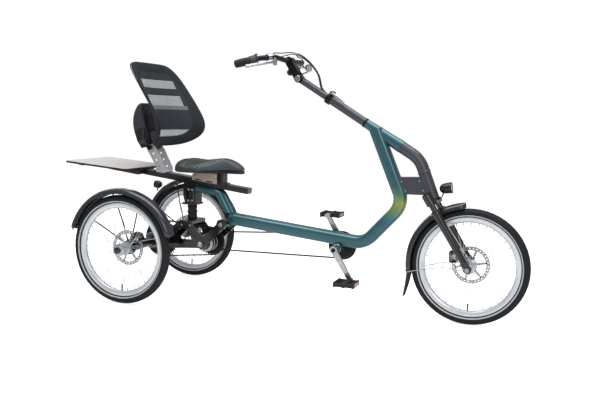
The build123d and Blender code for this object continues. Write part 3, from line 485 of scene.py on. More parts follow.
# ---------------------------------------------------------------- brake levers
# Forged and polished two-finger blades on cast perches, each clamped round the bar with a screw.
PERCH_IN, PERCH_ALONG = (664, 1102, 168), 0.032


def perch_place(hand):
    """The middle of a lever's clamp on the bar, and the bar's direction there."""
    start = spot(*PERCH_IN[:2], hand * PERCH_IN[2])
    line = unit(spot(*GRIP_IN[:2], hand * GRIP_IN[2]) - start)
    return start + line * PERCH_ALONG, line


for hand, label in ((-1, "right"), (1, "left")):
    middle, line = perch_place(hand)
    hinge = middle + (0.030, 0, -0.018)

    def by_hinge(x, y, z):
        """A place ahead of, outside and above the lever's hinge, in millimetres."""
        return hinge + np.array((x, hand * y, z)) / 1000

    clamp = turned([(-8.6, 15.6), (-7.4, 16.8), (7.4, 16.8), (8.6, 15.6)], middle, line, 40)
    neck = rod(middle + (0.004, 0, -0.012), middle + (0.026, 0, -0.018), 7.5, 20)
    barrel = turned([(-10.3, 7.6), (-9.6, 8.5), (9.6, 8.5), (10.3, 7.6)], hinge, (0, 0, 1), 28)
    entry_at = middle + (0.012, -hand * 0.008, 0.006)
    entry_way = (0.25, -hand * 0.9, 0.4)
    entry = turned([(0, 4.6), (9, 4.6), (10, 3.8), (14, 3.6)], entry_at, entry_way, 20)
    perch = [clamp, neck, barrel, entry]
    piece(f"{label}_lever_perch", perch, "stem", bright_alloy)
    places = [
        (8, 18, 0), (5, 42, -3), (-8, 62, -7), (-32, 83, -14), (-56, 102, -20), (-80, 119, -26.5)
    ]
    blade_path = through([by_hinge(*place) for place in places], 40)
    slim = [0.85, 1, 0.92, 0.86, 1.1, 0.7]
    slim = np.interp(np.linspace(0, 1, 40), [0, 0.12, 0.5, 0.93, 0.97, 1], slim)
    blade = swept(blade_path, ring(4.2, 16, 7.2), (0, 0, 1), slim)
    cheek = [(-1.5, 7.8), (-0.9, 8.6), (0.9, 8.6), (1.5, 7.8)]
    cheeks = [turned(cheek, by_hinge(0, 0, z), (0, 0, 1), 28) for z in (-12, 12)]
    arms = [rod(by_hinge(0, 6, z), by_hinge(8, 22, z), 3.3, 14) for z in (-13.6, 13.6)]
    cross = rod(by_hinge(8, 22, -15), by_hinge(8, 22, 15), 5, 18)
    pin = rod(by_hinge(0, 0, -14.8), by_hinge(0, 0, 14.8), 3, 14)
    body = f"{label}_brake_lever"
    lever = [blade, *cheeks, *arms, cross, pin]
    piece(f"{label}_lever_blade", lever, body, bright_alloy, (body,))

# ---------------------------------------------------------------- cables over the stem
# Two brake hoses and a shift cable in black jackets arch from the levers over the stem and run
# into the post beside each other.
# Cable jacket, extruded PVC: black with a narrow highlight that runs along each hose.
jacket = finish("cable_jacket_pvc", "#141517", "#1d1e20", 20, 0.42, 0.4, 0.01)
HOSE_R, SHIFT_CABLE_R = 2.3, 1.9
runs = []
for hand, lean in ((-1, -4.2), (1, 4.2)):
    middle, line = perch_place(hand)
    route = [
        middle + (0.015, -hand * 0.016, 0.011), middle + (0.012, -hand * 0.03, 0.021),
        spot(664, 1124, hand * 96), spot(688, 1131, hand * 40), spot(722, 1120, lean * 3.4),
        spot(764, 1088, lean * 2), spot(803, 1038, lean * 1.4), on_column(534, -23, lean * 1.1),
        on_column(508, -14.2, lean * 0.8), on_column(494, -12.6, lean * 0.75),
        on_column(448, -12.4, lean * 0.75),
    ]
    runs.append(swept(through(route, 120), ring(HOSE_R), (0.3, 0.15, 1)))
route = [
    grip_place(0.09, -1) + (0.016, 0.004, -0.004), spot(646, 1090, -196), spot(676, 1108, -120),
    spot(704, 1122, -52), spot(744, 1100, -6), spot(796, 1044, 0), on_column(536, -18.5, 0),
    on_column(508, -11.0, 0), on_column(494, -10.3, 0), on_column(448, -10.2, 0),
]
runs.append(swept(through(route, 120), ring(SHIFT_CABLE_R), (0.3, 0.15, 1)))
cable_runs = solid_mesh("cable_runs", together(runs), jacket)
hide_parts("cables")
tuple(spot(812, 1020))
tuple(spot(700, 1100))
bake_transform(cable_runs)

# ---------------------------------------------------------------- fork
# A cast crown and sleeves slide over black stanchions; rubber wipers seal the sliders, and the
# brake mount is faced and drilled.
# Gloss black paint over castings and welded plate: a clear lacquered mirror over black.
gloss_black = finish(
    "gloss_black_paint", "#101114", "#18191d", 90, 0.24, 0.9, 0.008,
    Coat_Weight=0.6, Coat_Roughness=0.08,
)
coat(gloss_black, "fork_crown", "fork_sliders")
FRONT_AXLE = (1492, 246)
FORK_ANGLE = radians(31.5)
LEG = unit((-sin(FORK_ANGLE), 0, cos(FORK_ANGLE)))
LEG_Y, WIPER_UP, CAP_UP = 65, 0.266, 0.346
hub_at = spot(*FRONT_AXLE)
# Moulded rubber seal: flat black.
wiper_rubber = finish("wiper_rubber", "#0d0d0e", "#141415", 20, 0.6)
wiper = [(0, 19.6), (2, 20.2), (4, 19.6), (6.4, 16.4), (8, 14.4), (8, 13.4), (0, 13.4)]
cap = [(0, 17), (2, 17.6), (5, 17.6), (7, 15), (7, 7), (5, 6)]
nut = [(0, 10.6), (6, 10.6), (7.5, 8.4), (7.5, 5), (9, 4.6)]
legs = [hub_at + (0, y / 1000, 0) for y in (-LEG_Y, LEG_Y)]
wipers = [turned(wiper, foot + LEG * WIPER_UP, LEG, solid=False) for foot in legs]
caps = [turned(cap, foot + LEG * CAP_UP, LEG, 36) for foot in legs]
piece("fork_wipers", wipers, "fork_sliders", wiper_rubber)
piece("fork_caps", caps, "fork", black_alloy)
nuts = both_sides(nut, *FRONT_AXLE, 76.5, 6)
piece("front_axle_nuts", nuts, "fork_sliders", stainless, crease=20)

# ---------------------------------------------------------------- wheels
# Three 20 inch wheels: rubber tyres with a block tread and a pale reflective band, polished box
# rims, and thirty-six crossed stainless spokes in flanged hubs.
# Vulcanised rubber: matt, slightly grey where it is dusty.
tyre_rubber = finish(
    "tyre_rubber", "#191a1c", "#222325", 35, 0.72, 0.8, 0.04, Specular_IOR_Level=0.3
)
# Reflective band, printed on the rubber: an even pale grey line.
reflective = finish("reflective_band", "#c2c8ce", "#b2b8be", 30, 0.35)
# Polished and anodised rim: light, with long soft reflections round the wheel.
rim_alloy = finish("rim_aluminium", "#e9ecf1", "#dde1e7", 60, 0.32, Metallic=0.55)
# Drawn stainless wire: thin bright lines.
spoke_steel = finish("spoke_steel", "#e2e5e9", "#d3d7db", 40, 0.26, Metallic=0.7)
TYRE_R, GROOVE, TREAD_STEPS, TREAD_BLOCKS, BAND = 246, 1.7, 480, 60, (214.5, 217.4)
SPOKES, LACING, SPOKE_R = 36, radians(52), 1.05
tyre_side = [
    (10.8, 201), (10.8, 209.6), (13.6, 211.5), (18.4, 215), (21.4, 220.5), (22, 226),
    (20.9, 232.5), (17, 238.4), (11.5, 242.6), (5.6, 245.2),
]
lining = [(7.5, 201), (7.8, 212), (15, 217.5), (17.6, 225.5), (14.5, 234)]
rim_side = [
    (4, 187.2), (9, 190.6), (12.2, 198), (13.3, 204.8), (13.1, 209.6), (12.2, 210.4),
    (11, 209.8), (10.9, 200.2), (4, 196),
]


def mirrored(points):
    """The points of a half section on the other side of the wheel's middle."""
    return [(-w, r) for w, r in points]


def tyre_shape(centre, y):
    """A tyre: its section, a closed smooth loop of (across, radius), turned about the axle, with a
    groove where a zigzag runs round the crown and where slanted slots cross the shoulders."""
    loop = mirrored(tyre_side) + [(0, TYRE_R)] + tyre_side[::-1]
    loop += lining + [(0, 240)] + mirrored(lining[::-1])
    section = through(loop + [loop[0]], 67)[:-1]
    a = around(TREAD_STEPS)[:, None]
    w, r = section[None, :, 0], section[None, :, 1]
    block = a * TREAD_BLOCKS / (2 * pi)
    zigzag = np.abs(w - 2.6 * (2 * np.abs(block % 1 - 0.5) * 2 - 1)) < 1.7
    slots = ((block + np.abs(w) * 0.04) % 1 < 0.24) & (np.abs(w) > 6.5) & (np.abs(w) < 18.5)
    outside = (r > 236.8) & (np.arange(len(section)) < 38)
    reach = r - GROOVE * ((zigzag | slots) & outside)
    ahead, above = centre[0] + reach * np.cos(a), centre[1] + reach * np.sin(a)
    banded = (section[:, 1] > BAND[0]) & (section[:, 1] < BAND[1]) & (np.abs(section[:, 0]) > 15.5)
    return skin(spot(ahead, np.maximum(above, 0), y + w), True, True), banded


def wheel_parts(label, body, centre, y, flange_y, flange_r):
    """The tyre, rim, valve and laced spokes of one wheel."""
    middle = spot(*centre, y)
    shape, banded = tyre_shape(centre, y)
    nodes = (f"{label}_tyre",)
    made = piece(f"{label}_tyre_carcass", [shape], body, tyre_rubber, nodes, 50)
    made.data.materials.append(reflective)
    faces = made.data.polygons
    faces.foreach_set("material_index", np.tile(banded.astype(np.int32), TREAD_STEPS)[: len(faces)])
    rim = turned(rim_side + mirrored(rim_side[::-1]), middle, steps=144, solid=False)
    lace, nipples = [], []
    for index, turn_to in enumerate(around(SPOKES)):
        hand, lean = 1 if index % 2 else -1, 1 if (index // 2) % 2 else -1
        base = turn_to + lean * LACING
        flange = (flange_r * cos(base), hand * flange_y + lean * 2.6, flange_r * sin(base))
        radial = np.array((cos(turn_to), 0, sin(turn_to)))
        outer = middle + radial * 0.1878 + (0, hand * 0.003, 0)
        lace.append(rod(middle + np.array(flange) / 1000, outer, SPOKE_R, 6))
        nipples.append(
            turned([(0, 1.6), (11, 1.9), (12.5, 2.6)], outer - radial * 0.0115, radial, 6)
        )
    valve = rod(middle + (0, 0, -0.188), middle + (0, 0, -0.158), 3)
    piece(f"{label}_rim", [rim], body, rim_alloy, (f"{label}_wheel",))
    piece(f"{label}_spokes", lace, body, spoke_steel)
    piece(f"{label}_nipples", nipples, body, stainless)
    piece(f"{label}_valve", [valve], body, wiper_rubber)


# Turned hub aluminium: bright, with a fine even blur.
hub_alloy = finish("hub_aluminium", "#cfd2d6", "#bfc2c7", 40, 0.3, Metallic=0.8)
# Phosphated steel: dark grey, oily and soft.
dark_steel = finish("phosphated_steel", "#2a2a2c", "#38383b", 25, 0.42, Metallic=0.8)
AXLE, WHEEL_Y, FLANGE_R = (0, 246), 321, 24
shell_profile = [
    (-53, 16), (-52, 17), (-46, 17), (-45, 21), (-27, 21), (-24, 27.4), (-20.4, 27.4),
    (-17, 18.5), (-8, 15.5), (8, 15.5), (17, 18.5), (20.4, 27.4), (23.6, 27.4), (26, 19), (31, 17),
]
shaft = [(-267, 9.4), (-266, 10), (-53, 10)]
axle_cap = [(31, 14.6), (33, 15.4), (42, 14.6), (44.4, 11), (45, 6)]
for label, hand in (("right", -1), ("left", 1)):
    body = f"{label}_rear_wheel"
    wheel_parts(label, body, AXLE, hand * WHEEL_Y, 22, FLANGE_R)
    for name, profile, steps, metal, slot in (
        ("hub_shell", shell_profile, 60, hub_alloy, "silver_alloy"),
        ("drive_shaft", shaft, 36, dark_steel, "silver_alloy"),
        ("axle_cap", axle_cap, 40, gloss_black, "black_paint"),
    ):
        shape = turned(profile, spot(*AXLE, hand * WHEEL_Y), (0, hand, 0), steps)
        piece(f"{label}_{name}", [shape], body, metal)
wheel_parts("front", "front_wheel", FRONT_AXLE, -2, 28, FLANGE_R)
front_shell = [
    (-46, 14), (-45, 16.6), (-34, 16.6), (-31.8, 27.4), (-28.2, 27.4), (-25, 19), (-12, 15),
    (8, 15), (21, 19), (24.2, 27.4), (27.8, 27.4), (30, 20.5), (43, 20.5), (44, 16), (47.6, 14),
]
front_hub = turned(front_shell, hub_at, steps=60)
piece("front_hub_shell", [front_hub], "front_wheel", hub_alloy)

# ---------------------------------------------------------------- brakes
# Stamped stainless discs, ground in rings, riveted to their carriers; two-piston calipers with
# cast bodies, machined faces and a banjo.
RIVET_R, SCREW_R = 66, 22
rivet = [(-1.9, 3.0), (-1.4, 3.6), (1.4, 3.6), (1.9, 3.0)]
for label, centre, discs in (
    ("rear", AXLE, ("right_brake_disc", "left_brake_disc")),
    ("front", FRONT_AXLE, ("front_brake_disc",)),
):
    # Ground stainless steel: fine rings round the axle that draw the light into two fans.
    disc_steel, tree, shader = blank(
        f"{label}_disc_steel", Base_Color=linear("#b4b6b9"), Metallic=1.0
    )
    place = add_node(tree, "TexCoord").outputs["Object"]
    hub = tuple(spot(*centre))
    away = add_node(tree, "VectorMath", {0: place, 1: hub}, operation="SUBTRACT").outputs[0]
    flat = add_node(tree, "VectorMath", {0: away, 1: (1, 0, 1)}, operation="MULTIPLY").outputs[0]
    far = add_node(tree, "VectorMath", {0: flat}, operation="LENGTH").outputs["Value"]
    grooves = {"W": far, "Scale": 1500.0, "Detail": 3.0}
    grinding = add_node(tree, "TexNoise", grooves, noise_dimensions="1D").outputs["Fac"]
    gloss = mapped(tree, grinding, result=(0.2, 0.42))
    tree.links.new(gloss, shader.inputs["Roughness"])
    emboss(tree, shader, grinding, 0.00004)
    coat(disc_steel, *discs)
for label, body, centre, y, outer in (
    ("right", "right_rear_wheel", AXLE, -272, 1),
    ("left", "left_rear_wheel", AXLE, 272, -1),
    ("front", "front_wheel", FRONT_AXLE, 40, 1),
):
    rivets, fixings = [], []
    for a in np.radians(12 + 60 * np.arange(6)):
        ahead, above = centre[0] + RIVET_R * cos(a), centre[1] + RIVET_R * sin(a)
        rivets.append(turned(rivet, spot(ahead, above, y), steps=14))
        ahead, above = centre[0] + SCREW_R * cos(a + 0.5), centre[1] + SCREW_R * sin(a + 0.5)
        fixings.append(bolt(spot(ahead, above, y + 0.9 * outer), (0, outer, 0), 3, 2.4))
    piece(f"{label}_disc_rivets", rivets, body, dark_steel)
    piece(f"{label}_disc_screws", fixings, body, stainless)
# Cast aluminium, painted black: a grainy skin that breaks its highlights up.
cast_black = finish(
    "cast_black_aluminium", "#1a1b1e", "#26272b", 25, 0.42, 0.8, 0.03, Metallic=0.4
)
coat(cast_black, "rear_calipers", "front_caliper")


def bolts(places, y, radius, height):
    """The same screws on either side, at places ahead and above, each facing away."""
    return [
        bolt(spot(x, z, hand * y), (0, hand, 0), radius, height)
        for hand in (-1, 1) for x, z in places
    ]


CALIPER_Y, FRONT_CALIPER_Y = 285, 31
piston = [(0, 9), (1.6, 9), (2.2, 8.2), (2.2, 3), (1, 2.6)]
pistons = both_sides(piston, 56, 292, CALIPER_Y, 32)
pistons += bolts(((40, 308), (72, 276)), CALIPER_Y, 3.2, 2.4)
piece("rear_caliper_faces", pistons, "swing_arm", bright_alloy)
front_faces = [turned(piston, spot(1422, 282, FRONT_CALIPER_Y), (0, -1, 0), 32)]
for x, z in ((1410, 262), (1430, 300)):
    front_faces.append(bolt(spot(x, z, FRONT_CALIPER_Y), (0, -1, 0), 3.2, 2.4))
piece("front_caliper_faces", front_faces, "fork_sliders", bright_alloy)

# ---------------------------------------------------------------- swing arm and subframe
# Welded black plates carry the axle housings and swing on the gear hub's axle against a rubber
# buffer; zinc-plated bolts hold them.
coat(
    gloss_black, "swing_arm", "subframe", "axle_housing", "buffer_post", "seat_rail",
    "seat_channel", "plate_frame", "backrest_post",
)
# Zinc-plated steel: bright, a little yellower than stainless and more clouded.
zinc = finish("zinc_plated_steel", "#c4c6c9", "#b0b1b0", 15, 0.34, Metallic=1.0)
coat(zinc, "frame_fasteners")
PIVOT = (270, 252)
heads = both_sides([(0, 12.6), (5, 12.6), (6.5, 10.6), (6.5, 5)], *PIVOT, 88, 6)
heads += bolts(((372, 352),), 83.5, 9, 5)
heads += bolts(((176, 448), (196, 448), (178, 500), (196, 500)), 33.5, 5.2, 3.6)
piece("subframe_bolts", heads, "frame", zinc, crease=24)
arm_places = ((30, 226), (30, 264), (160, 334), (204, 334), (-24, 246))
piece("swing_arm_bolts", bolts(arm_places, 66, 4.6, 3.4), "swing_arm", zinc)
# Moulded buffer rubber: flat black with a coarse skin.
buffer_rubber = finish("buffer_rubber", "#131313", "#1b1b1a", 20, 0.66, 0.8, 0.05)
t = np.linspace(0, 1, 40)
bellows = np.column_stack([t * 71.6 + 0.2, 22.4 + 1.5 * np.sin(6 * pi * t - pi / 2)])
buffer = [turned(bellows, spot(180, 356), (0, 0, 1), 40)]
buffer = piece(
    "buffer_bellows", buffer, "frame", buffer_rubber, ("rubber_buffer",)
)
tuple(spot(180, 428))
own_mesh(buffer)

# ---------------------------------------------------------------- drive train
# Half-inch chains with plates and rollers run from the crank to the gear hub and on to the axle;
# the hub has machined rings, one of them bronze.
# Oiled chain steel: brown grey, dark between the plates and bright along them.
chain_steel = finish("oiled_chain_steel", "#4a4742", "#35332f", 10, 0.34, Metallic=0.9)
PITCH, PLATE_R, WAIST_R, PLATE, ROLLER_R, ROLLER_HALF = 12.7, 3.9, 3.0, 1.0, 3.8, 1.7


def slab(outline, low, high):
    """A side-view outline, in millimetres, as a plate between two distances to the left."""
    x, z = np.array(outline, float).T
    return skin(spot(x, z, np.array([[low], [high]])), False, True, True)


def chain_links(first, first_teeth, second, second_teeth, y):
    """Links round two sprockets: pins lie evenly on the belt line, which is two straight runs and
    two arcs, and each link is two waisted plates and a roller set between two pins."""
    r1, r2 = (PITCH / (2 * sin(pi / teeth)) for teeth in (first_teeth, second_teeth))
    c1, c2 = np.array(first, float), np.array(second, float)
    span = np.linalg.norm(c2 - c1)
    lean = np.arccos((r1 - r2) / span)
    base = np.arctan2(*(c2 - c1)[::-1])
    arcs = []
    for centre, radius, start, end in ((c1, r1, lean, 2 * pi - lean), (c2, r2, -lean, lean)):
        a = base + np.linspace(start, end, 60)
        arcs.append(centre + radius * np.column_stack([np.cos(a), np.sin(a)]))
    loop = np.concatenate([*arcs, arcs[0][:1]])
    length = np.concatenate([[0], np.cumsum(np.linalg.norm(np.diff(loop, axis=0), axis=1))])
    count = 2 * round(length[-1] / PITCH / 2)
    marks = np.linspace(0, length[-1], count, endpoint=False)
    pins = np.column_stack([np.interp(marks, length, loop[:, k]) for k in (0, 1)])
    ahead = np.roll(pins, -1, axis=0) - pins
    c, s = np.cos(around(12)), np.sin(around(12))
    along = PITCH / 2 + (PITCH / 2 + PLATE_R * np.abs(c)) * np.sign(c) * (np.abs(c) > 0.1)
    tall = np.where(np.abs(c) < 0.5, WAIST_R, PLATE_R) * s
    shapes = []
    for kind, offset in ((0, 2.3), (1, 3.4)):
        way = unit(ahead[kind::2])
        lift = np.stack([-way[:, 1], way[:, 0]], -1)
        flat = pins[kind::2, None] + along[:, None] * way[:, None] + tall[:, None] * lift[:, None]
        for low in (-offset - PLATE / 2, offset - PLATE / 2):
            shapes += [slab(outline, y + low, y + low + PLATE) for outline in flat]
    roller = [(-ROLLER_HALF, ROLLER_R), (ROLLER_HALF, ROLLER_R)]
    return shapes + [turned(roller, spot(x, z, y), steps=8) for x, z in pins]


for name, body, route in (
    ("front_chain", "frame", (PIVOT, 21, CRANK_AXLE, 28, 44)),
    ("rear_chain", "swing_arm", (AXLE, 44, PIVOT, 33, 24)),
):
    piece(f"{name}_links", chain_links(*route), body, chain_steel, (name,))
coat(black_alloy, "gear_hub", "differential", "chainring")
# Bearing bronze: a warm brown metal ring among the grey.
bronze = finish("bearing_bronze", "#8d6a45", "#a07a50", 20, 0.36, Metallic=1.0)
hub_rings = [
    [(-47.2, 38.4), (-46.2, 40.6), (-40, 40.6), (-39, 39.6), (-39, 30), (-47.2, 30)],
    [(-22, 39.8), (-21, 41.2), (-17, 41.2), (-16, 39.8), (-16, 38), (-22, 38)],
    [(6, 39.8), (7, 41.4), (11.4, 41.4), (12.6, 39.6), (12.6, 30), (6, 30)],
]
hub_rings = [turned(profile, spot(*PIVOT), steps=72, solid=False) for profile in hub_rings]
piece("gear_hub_rings", hub_rings, "gear_hub", hub_alloy)
bushing = [(-47.4, 20), (-46.8, 25.6), (-46, 26), (-45, 26), (-45, 18), (-47.4, 18)]
bushing = turned(bushing, spot(*PIVOT), steps=60, solid=False)
piece("gear_hub_bushing", [bushing], "gear_hub", bronze)
carrier = [
    bolt(spot(38 * cos(a), AXLE[1] + 38 * sin(a), -34), (0, -1, 0), 3.6, 3) for a in around(6)
]
piece("differential_bolts", carrier, "differential", zinc)
guard = [(52, 60), (52.8, 66), (54.4, 66.4), (55.2, 64), (54.4, 56), (52.4, 56)]
guard = turned(guard, spot(*CRANK_AXLE), steps=90, solid=False)
piece("chain_guard_rim", [guard], "crankset", bright_alloy)
coat(bright_alloy, "cranks")
crank_cap = [(0, 9.6), (1.4, 9.6), (2.4, 8.6), (2.4, 4.2), (0.8, 4)]
crank_caps = both_sides(crank_cap, *CRANK_AXLE, 82, 32)
piece("crank_bolt_caps", crank_caps, "crankset", black_alloy)

# ---------------------------------------------------------------- pedals
# Moulded platform pedals with ridged treads on a turned barrel, an amber reflector let into the
# front and rear edges.
# Moulded glass-filled nylon: a dull black with a grainy sheen.
pedal_plastic = finish("pedal_nylon", "#1a1a1b", "#242425", 20, 0.5, 0.7, 0.03)
# Amber acrylic: saturated orange under a sharp gloss.
amber = finish("amber_reflector", "#c5671a", "#d8842a", 12, 0.16, Coat_Weight=0.6)
CRANK_LENGTH, CRANK_TURN = 150, radians(-58)
step_x, step_z = CRANK_LENGTH * cos(CRANK_TURN), CRANK_LENGTH * sin(CRANK_TURN)
rail = [(36, -10), (44, -11.6), (46, -9), (46, 9), (44, 11.6), (36, 10)]
web = [(-40, -9), (40, -9), (42, 0), (40, 9), (-40, 9), (-42, 0)]
reflector = [(45.6, -6), (46.9, -5.4), (46.9, 5.4), (45.6, 6)]
barrel = [(0, 10.4), (1.5, 12), (20, 12), (28, 10.6), (62, 10.6), (70, 12), (88.5, 12), (90, 10.4)]
for label, away, low in (("right", 1, -181), ("left", -1, 91)):
    body = f"{label}_pedal"
    x, z = CRANK_AXLE[0] + away * step_x, CRANK_AXLE[1] + away * step_z

    def plate(outline, start, end, side=1, up=1):
        """A plate of the pedal: an outline about its axle, between two distances along it."""
        return slab([(x + side * u, z + up * v) for u, v in outline], low + start, low + end)

    edges = []
    for side in (-1, 1):
        edges.append(plate(rail, 3, 87, side))
        for up in (-1, 1):
            ridge = [(37, 9), (45, 11), (42, 12.4)]
            edges += [plate(ridge, start, start + 5, side, up) for start in range(6, 82, 10)]
    edges += [plate(web, start, start + 7) for start in (2, 41, 80)]
    edges.append(turned(barrel, spot(x, z, low), steps=28))
    piece(f"{label}_pedal_cage", edges, body, pedal_plastic, (body,), 30)
    lenses = [plate(reflector, 18, 72, side) for side in (-1, 1)]
    piece(f"{label}_pedal_reflectors", lenses, body, amber)

# ---------------------------------------------------------------- mudguards
# Moulded guards with a crowned section and rolled edges, on black wire stays at the back and a
# bright one in front; a rubber flap hangs from the front guard.
# Moulded polycarbonate: smooth dark grey with a clear gloss along the crown.
guard_plastic = finish(
    "guard_polycarbonate", "#2b2e36", "#24272e", 140, 0.24, 1.2, 0.006, Coat_Weight=0.4
)
# Black painted wire: a thin dark line with a faint highlight.
stay_wire = finish("stay_wire", "#17181a", "#222326", 20, 0.34, Metallic=0.5)
# Drawn stainless wire: a thin bright line.
bright_wire = finish("bright_stay_wire", "#d2d4d7", "#bfc2c6", 20, 0.26, Metallic=1.0)
GUARD_FALL, GUARD_THICK, GUARD_TAPER = 25, 2.4, 5


def guard_shape(centre, y, radius, start, end, half):
    """A mudguard: a section whose sides fall along a superellipse over its half width, with rolled
    edges, turned between two angles in degrees and narrower over the last few of them."""
    w = np.sin(np.linspace(-pi / 2, pi / 2, 25))
    fall = GUARD_FALL * (1 - (1 - np.abs(w) ** 2.4) ** (1 / 2.4))
    under = -fall - np.where(fall > GUARD_FALL - 1, 0, GUARD_THICK)
    across, rise = np.concatenate([[w, -fall], [w[::-1] * 0.93, under[::-1]]], axis=1)
    degrees = np.linspace(start, end, 90)
    a = np.radians(degrees)[:, None]
    from_end = np.minimum(degrees - start, end - degrees)[:, None]
    narrow = 1 - 0.45 * (1 - np.clip(from_end / GUARD_TAPER, 0, 1)) ** 2.2
    reach = radius + rise
    ahead, above = centre[0] + reach * np.cos(a), centre[1] + reach * np.sin(a)
    return [skin(spot(ahead, above, y + across * half * narrow), False, True, True)]


def beyond(radius, angle, y):
    """A place at a radius from the rear axle, at an angle above straight ahead."""
    return spot(radius * cos(angle), AXLE[1] + radius * sin(angle), y)


stays, feet = [], []
for hand, label, nodes in ((-1, "right", ()), (1, "left", ("rear_fenders",))):
    for angle in np.radians((74, 106, 148)):
        feet.append(bolt(beyond(256, angle, hand * 290.4), (0, -hand, 0), 6, 2.6))
        feet.append(bolt(beyond(35, angle, hand * 257), (0, hand, 0), 6, 3))
        line = [beyond(35, angle, hand * 258), beyond(150, angle, hand * 266)]
        line += [beyond(246, angle, hand * 283), beyond(257, angle, hand * 288.5)]
        up = (cos(angle) * 0.9, 0.2, 0.6 - sin(angle) * 0.5)
        stays.append(swept(through(line, 24), ring(3.2), up))
    guard = guard_shape(AXLE, hand * WHEEL_Y, 277, 17, 164, 31)
    piece(f"{label}_guard", guard, "swing_arm", guard_plastic, nodes)
piece("rear_guard_stays", stays, "swing_arm", stay_wire)
piece("rear_guard_screws", feet, "swing_arm", stainless)
guard = guard_shape(FRONT_AXLE, 0, 271, 96, 190, 30)
piece("front_guard", guard, "fork_sliders", guard_plastic, ("front_fender",))
BRIDGE_X, BRIDGE_Z, BRIDGE_HALF, BRIDGE_BOW, WIRE_R = 1238, 206, 31, 16, 2
behind_leg = np.array((LEG[2], 0, -LEG[0]))
lug_at = hub_at + LEG * 0.262
wires = []
for hand in (-1, 1):
    line = [spot(1480, 248, hand * 74), spot(1380, 243, hand * 62), spot(1262, 214, hand * 37)]
    line.append(spot(BRIDGE_X, BRIDGE_Z, hand * BRIDGE_HALF))
    wires.append(swept(through(line, 30), ring(WIRE_R, 10)))
    outer, inner = (0, hand * 0.056, 0), (0, hand * 0.031, 0)
    wires.append(rod(lug_at + outer - behind_leg * 0.014, lug_at + inner - behind_leg * 0.030, 2.6))
line = []
for y in (-BRIDGE_HALF, -26, -16, 0, 16, 26, BRIDGE_HALF):
    bow = BRIDGE_BOW * (1 - (y / BRIDGE_HALF) ** 2) ** 0.5
    line.append(spot(BRIDGE_X - bow, BRIDGE_Z, y))
wires.append(swept(through(line, 26), ring(WIRE_R, 10)))
piece("front_guard_stays", wires, "fork_sliders", bright_wire)
v = np.linspace(0, 1, 24)[:, None]
w = np.linspace(-1, 1, 15)[None, :]
width = np.interp(v, [0, 0.15, 0.6, 1], [29, 31, 26, 12])
drop = v * 112 + 4 * (1 - w**2) * v
flap_x = 1226 - 14 * v**1.6 + 16 * w**2 * (1 - 0.6 * v)
front = spot(flap_x, BRIDGE_Z - drop, w * width)
flap = skin(np.concatenate([front, front[:, ::-1] + (0.0026, 0, 0)], axis=1), False, True, True)
piece("front_flap", [flap], "fork_sliders", wiper_rubber)

# ---------------------------------------------------------------- luggage plate and lamps
# A grained grey plate lies on its black frame; the lamps are black housings with moulded lenses,
# the front one on a bent wire bracket.
# Grained laminate: a speckled warm grey face, and a black edge and underside.
deck, tree, shader = blank("grained_plate_laminate", Roughness=0.5)
normal = add_node(tree, "NewGeometry").outputs["Normal"]
facing = add_node(tree, "SeparateXYZ", {"Vector": normal}).outputs["Z"]
place = add_node(tree, "TexCoord").outputs["Object"]
grain = add_node(tree, "TexNoise", {"Vector": place, "Scale": 420.0, "Detail": 3.0}).outputs["Fac"]
speck = mixed(tree, grain, linear("#b9b2ad"), linear("#a49e9a"))
tint = mixed(tree, mapped(tree, facing, (0.7, 0.95)), linear("#232326"), speck)
tree.links.new(tint, shader.inputs["Base Color"])
emboss(tree, shader, grain, 0.00012)
coat(deck, "luggage_plate")
# Moulded ABS: black with a soft gloss.
lamp_shell = finish("lamp_housing_abs", "#121315", "#1b1c1f", 15, 0.32, 0.5, 0.01)
# Clear polycarbonate over a mirror: pale, sharp and broken up by its optics.
lens = finish(
    "clear_lens", "#cfd6da", "#e4e9ec", 6, 0.06, 2.2, 0.25, IOR=1.58, Coat_Weight=0.8
)
# Red polycarbonate: deep red with small sharp highlights.
red_lens = finish(
    "red_lens", "#5a0d0f", "#7a1416", 6, 0.12, 2.2, 0.25, IOR=1.58, Coat_Weight=0.6
)
lamp_at, lamp_way = spot(1376, 569), unit((0.985, 0, 0.17))
shell = [
    (-22, 6), (-21, 10), (-14, 17), (-4, 21.4), (8, 22.6), (24, 22.8), (27.4, 22), (28, 20.6),
    (25, 19.8),
]
hood = [(20, 22.4), (20, 23.4), (29, 23.6), (30, 22.8), (29, 22.2)]
shell = [turned(shell, lamp_at, lamp_way, 60), turned(hood, lamp_at, lamp_way, 60, solid=False)]
piece("headlamp_housing", shell, "fork", lamp_shell, ("headlamp",))
front_lens = [(22, 19), (26.4, 19.6), (28.4, 16), (29.8, 8), (30, 0.8)]
piece("headlamp_lens", [turned(front_lens, lamp_at, lamp_way)], "fork", lens)
holder = []
for y in (-9, 9):
    line = [lamp_at + (-0.006, y / 1000, -0.018), spot(1366, 536, y * 0.9)]
    line += [spot(1352, 520, y * 0.7), spot(1334, 514, y * 0.6)]
    holder.append(swept(through(line, 20), ring(1.8, 10), (0.2, 0.1, 1)))
piece("headlamp_bracket", holder, "fork", stay_wire)
tail_way = unit((-1, 0, 0.05))
tail_shell = [(-20, 8), (-18, 13), (-9, 19), (4, 20.6), (17, 20.2), (18, 18)]
tail_shell = turned(tail_shell, spot(-206, 474, WHEEL_Y), tail_way)
line = [spot(x, z, WHEEL_Y) for x, z in ((-204, 458), (-208, 452), (-215, 440))]
tail_foot = swept(through(line, 8), ring(4, 12, 2.2), (0, 1, 0))
tail = [tail_shell, tail_foot]
piece("rear_lamp_housing", tail, "swing_arm", lamp_shell, ("rear_lamp",))
tail = [(0, 15.5), (2.4, 16.6), (5.2, 15.4), (6.6, 9), (7, 0.8)]
tail = turned(tail, spot(-219, 474.6, WHEEL_Y), tail_way, 40)
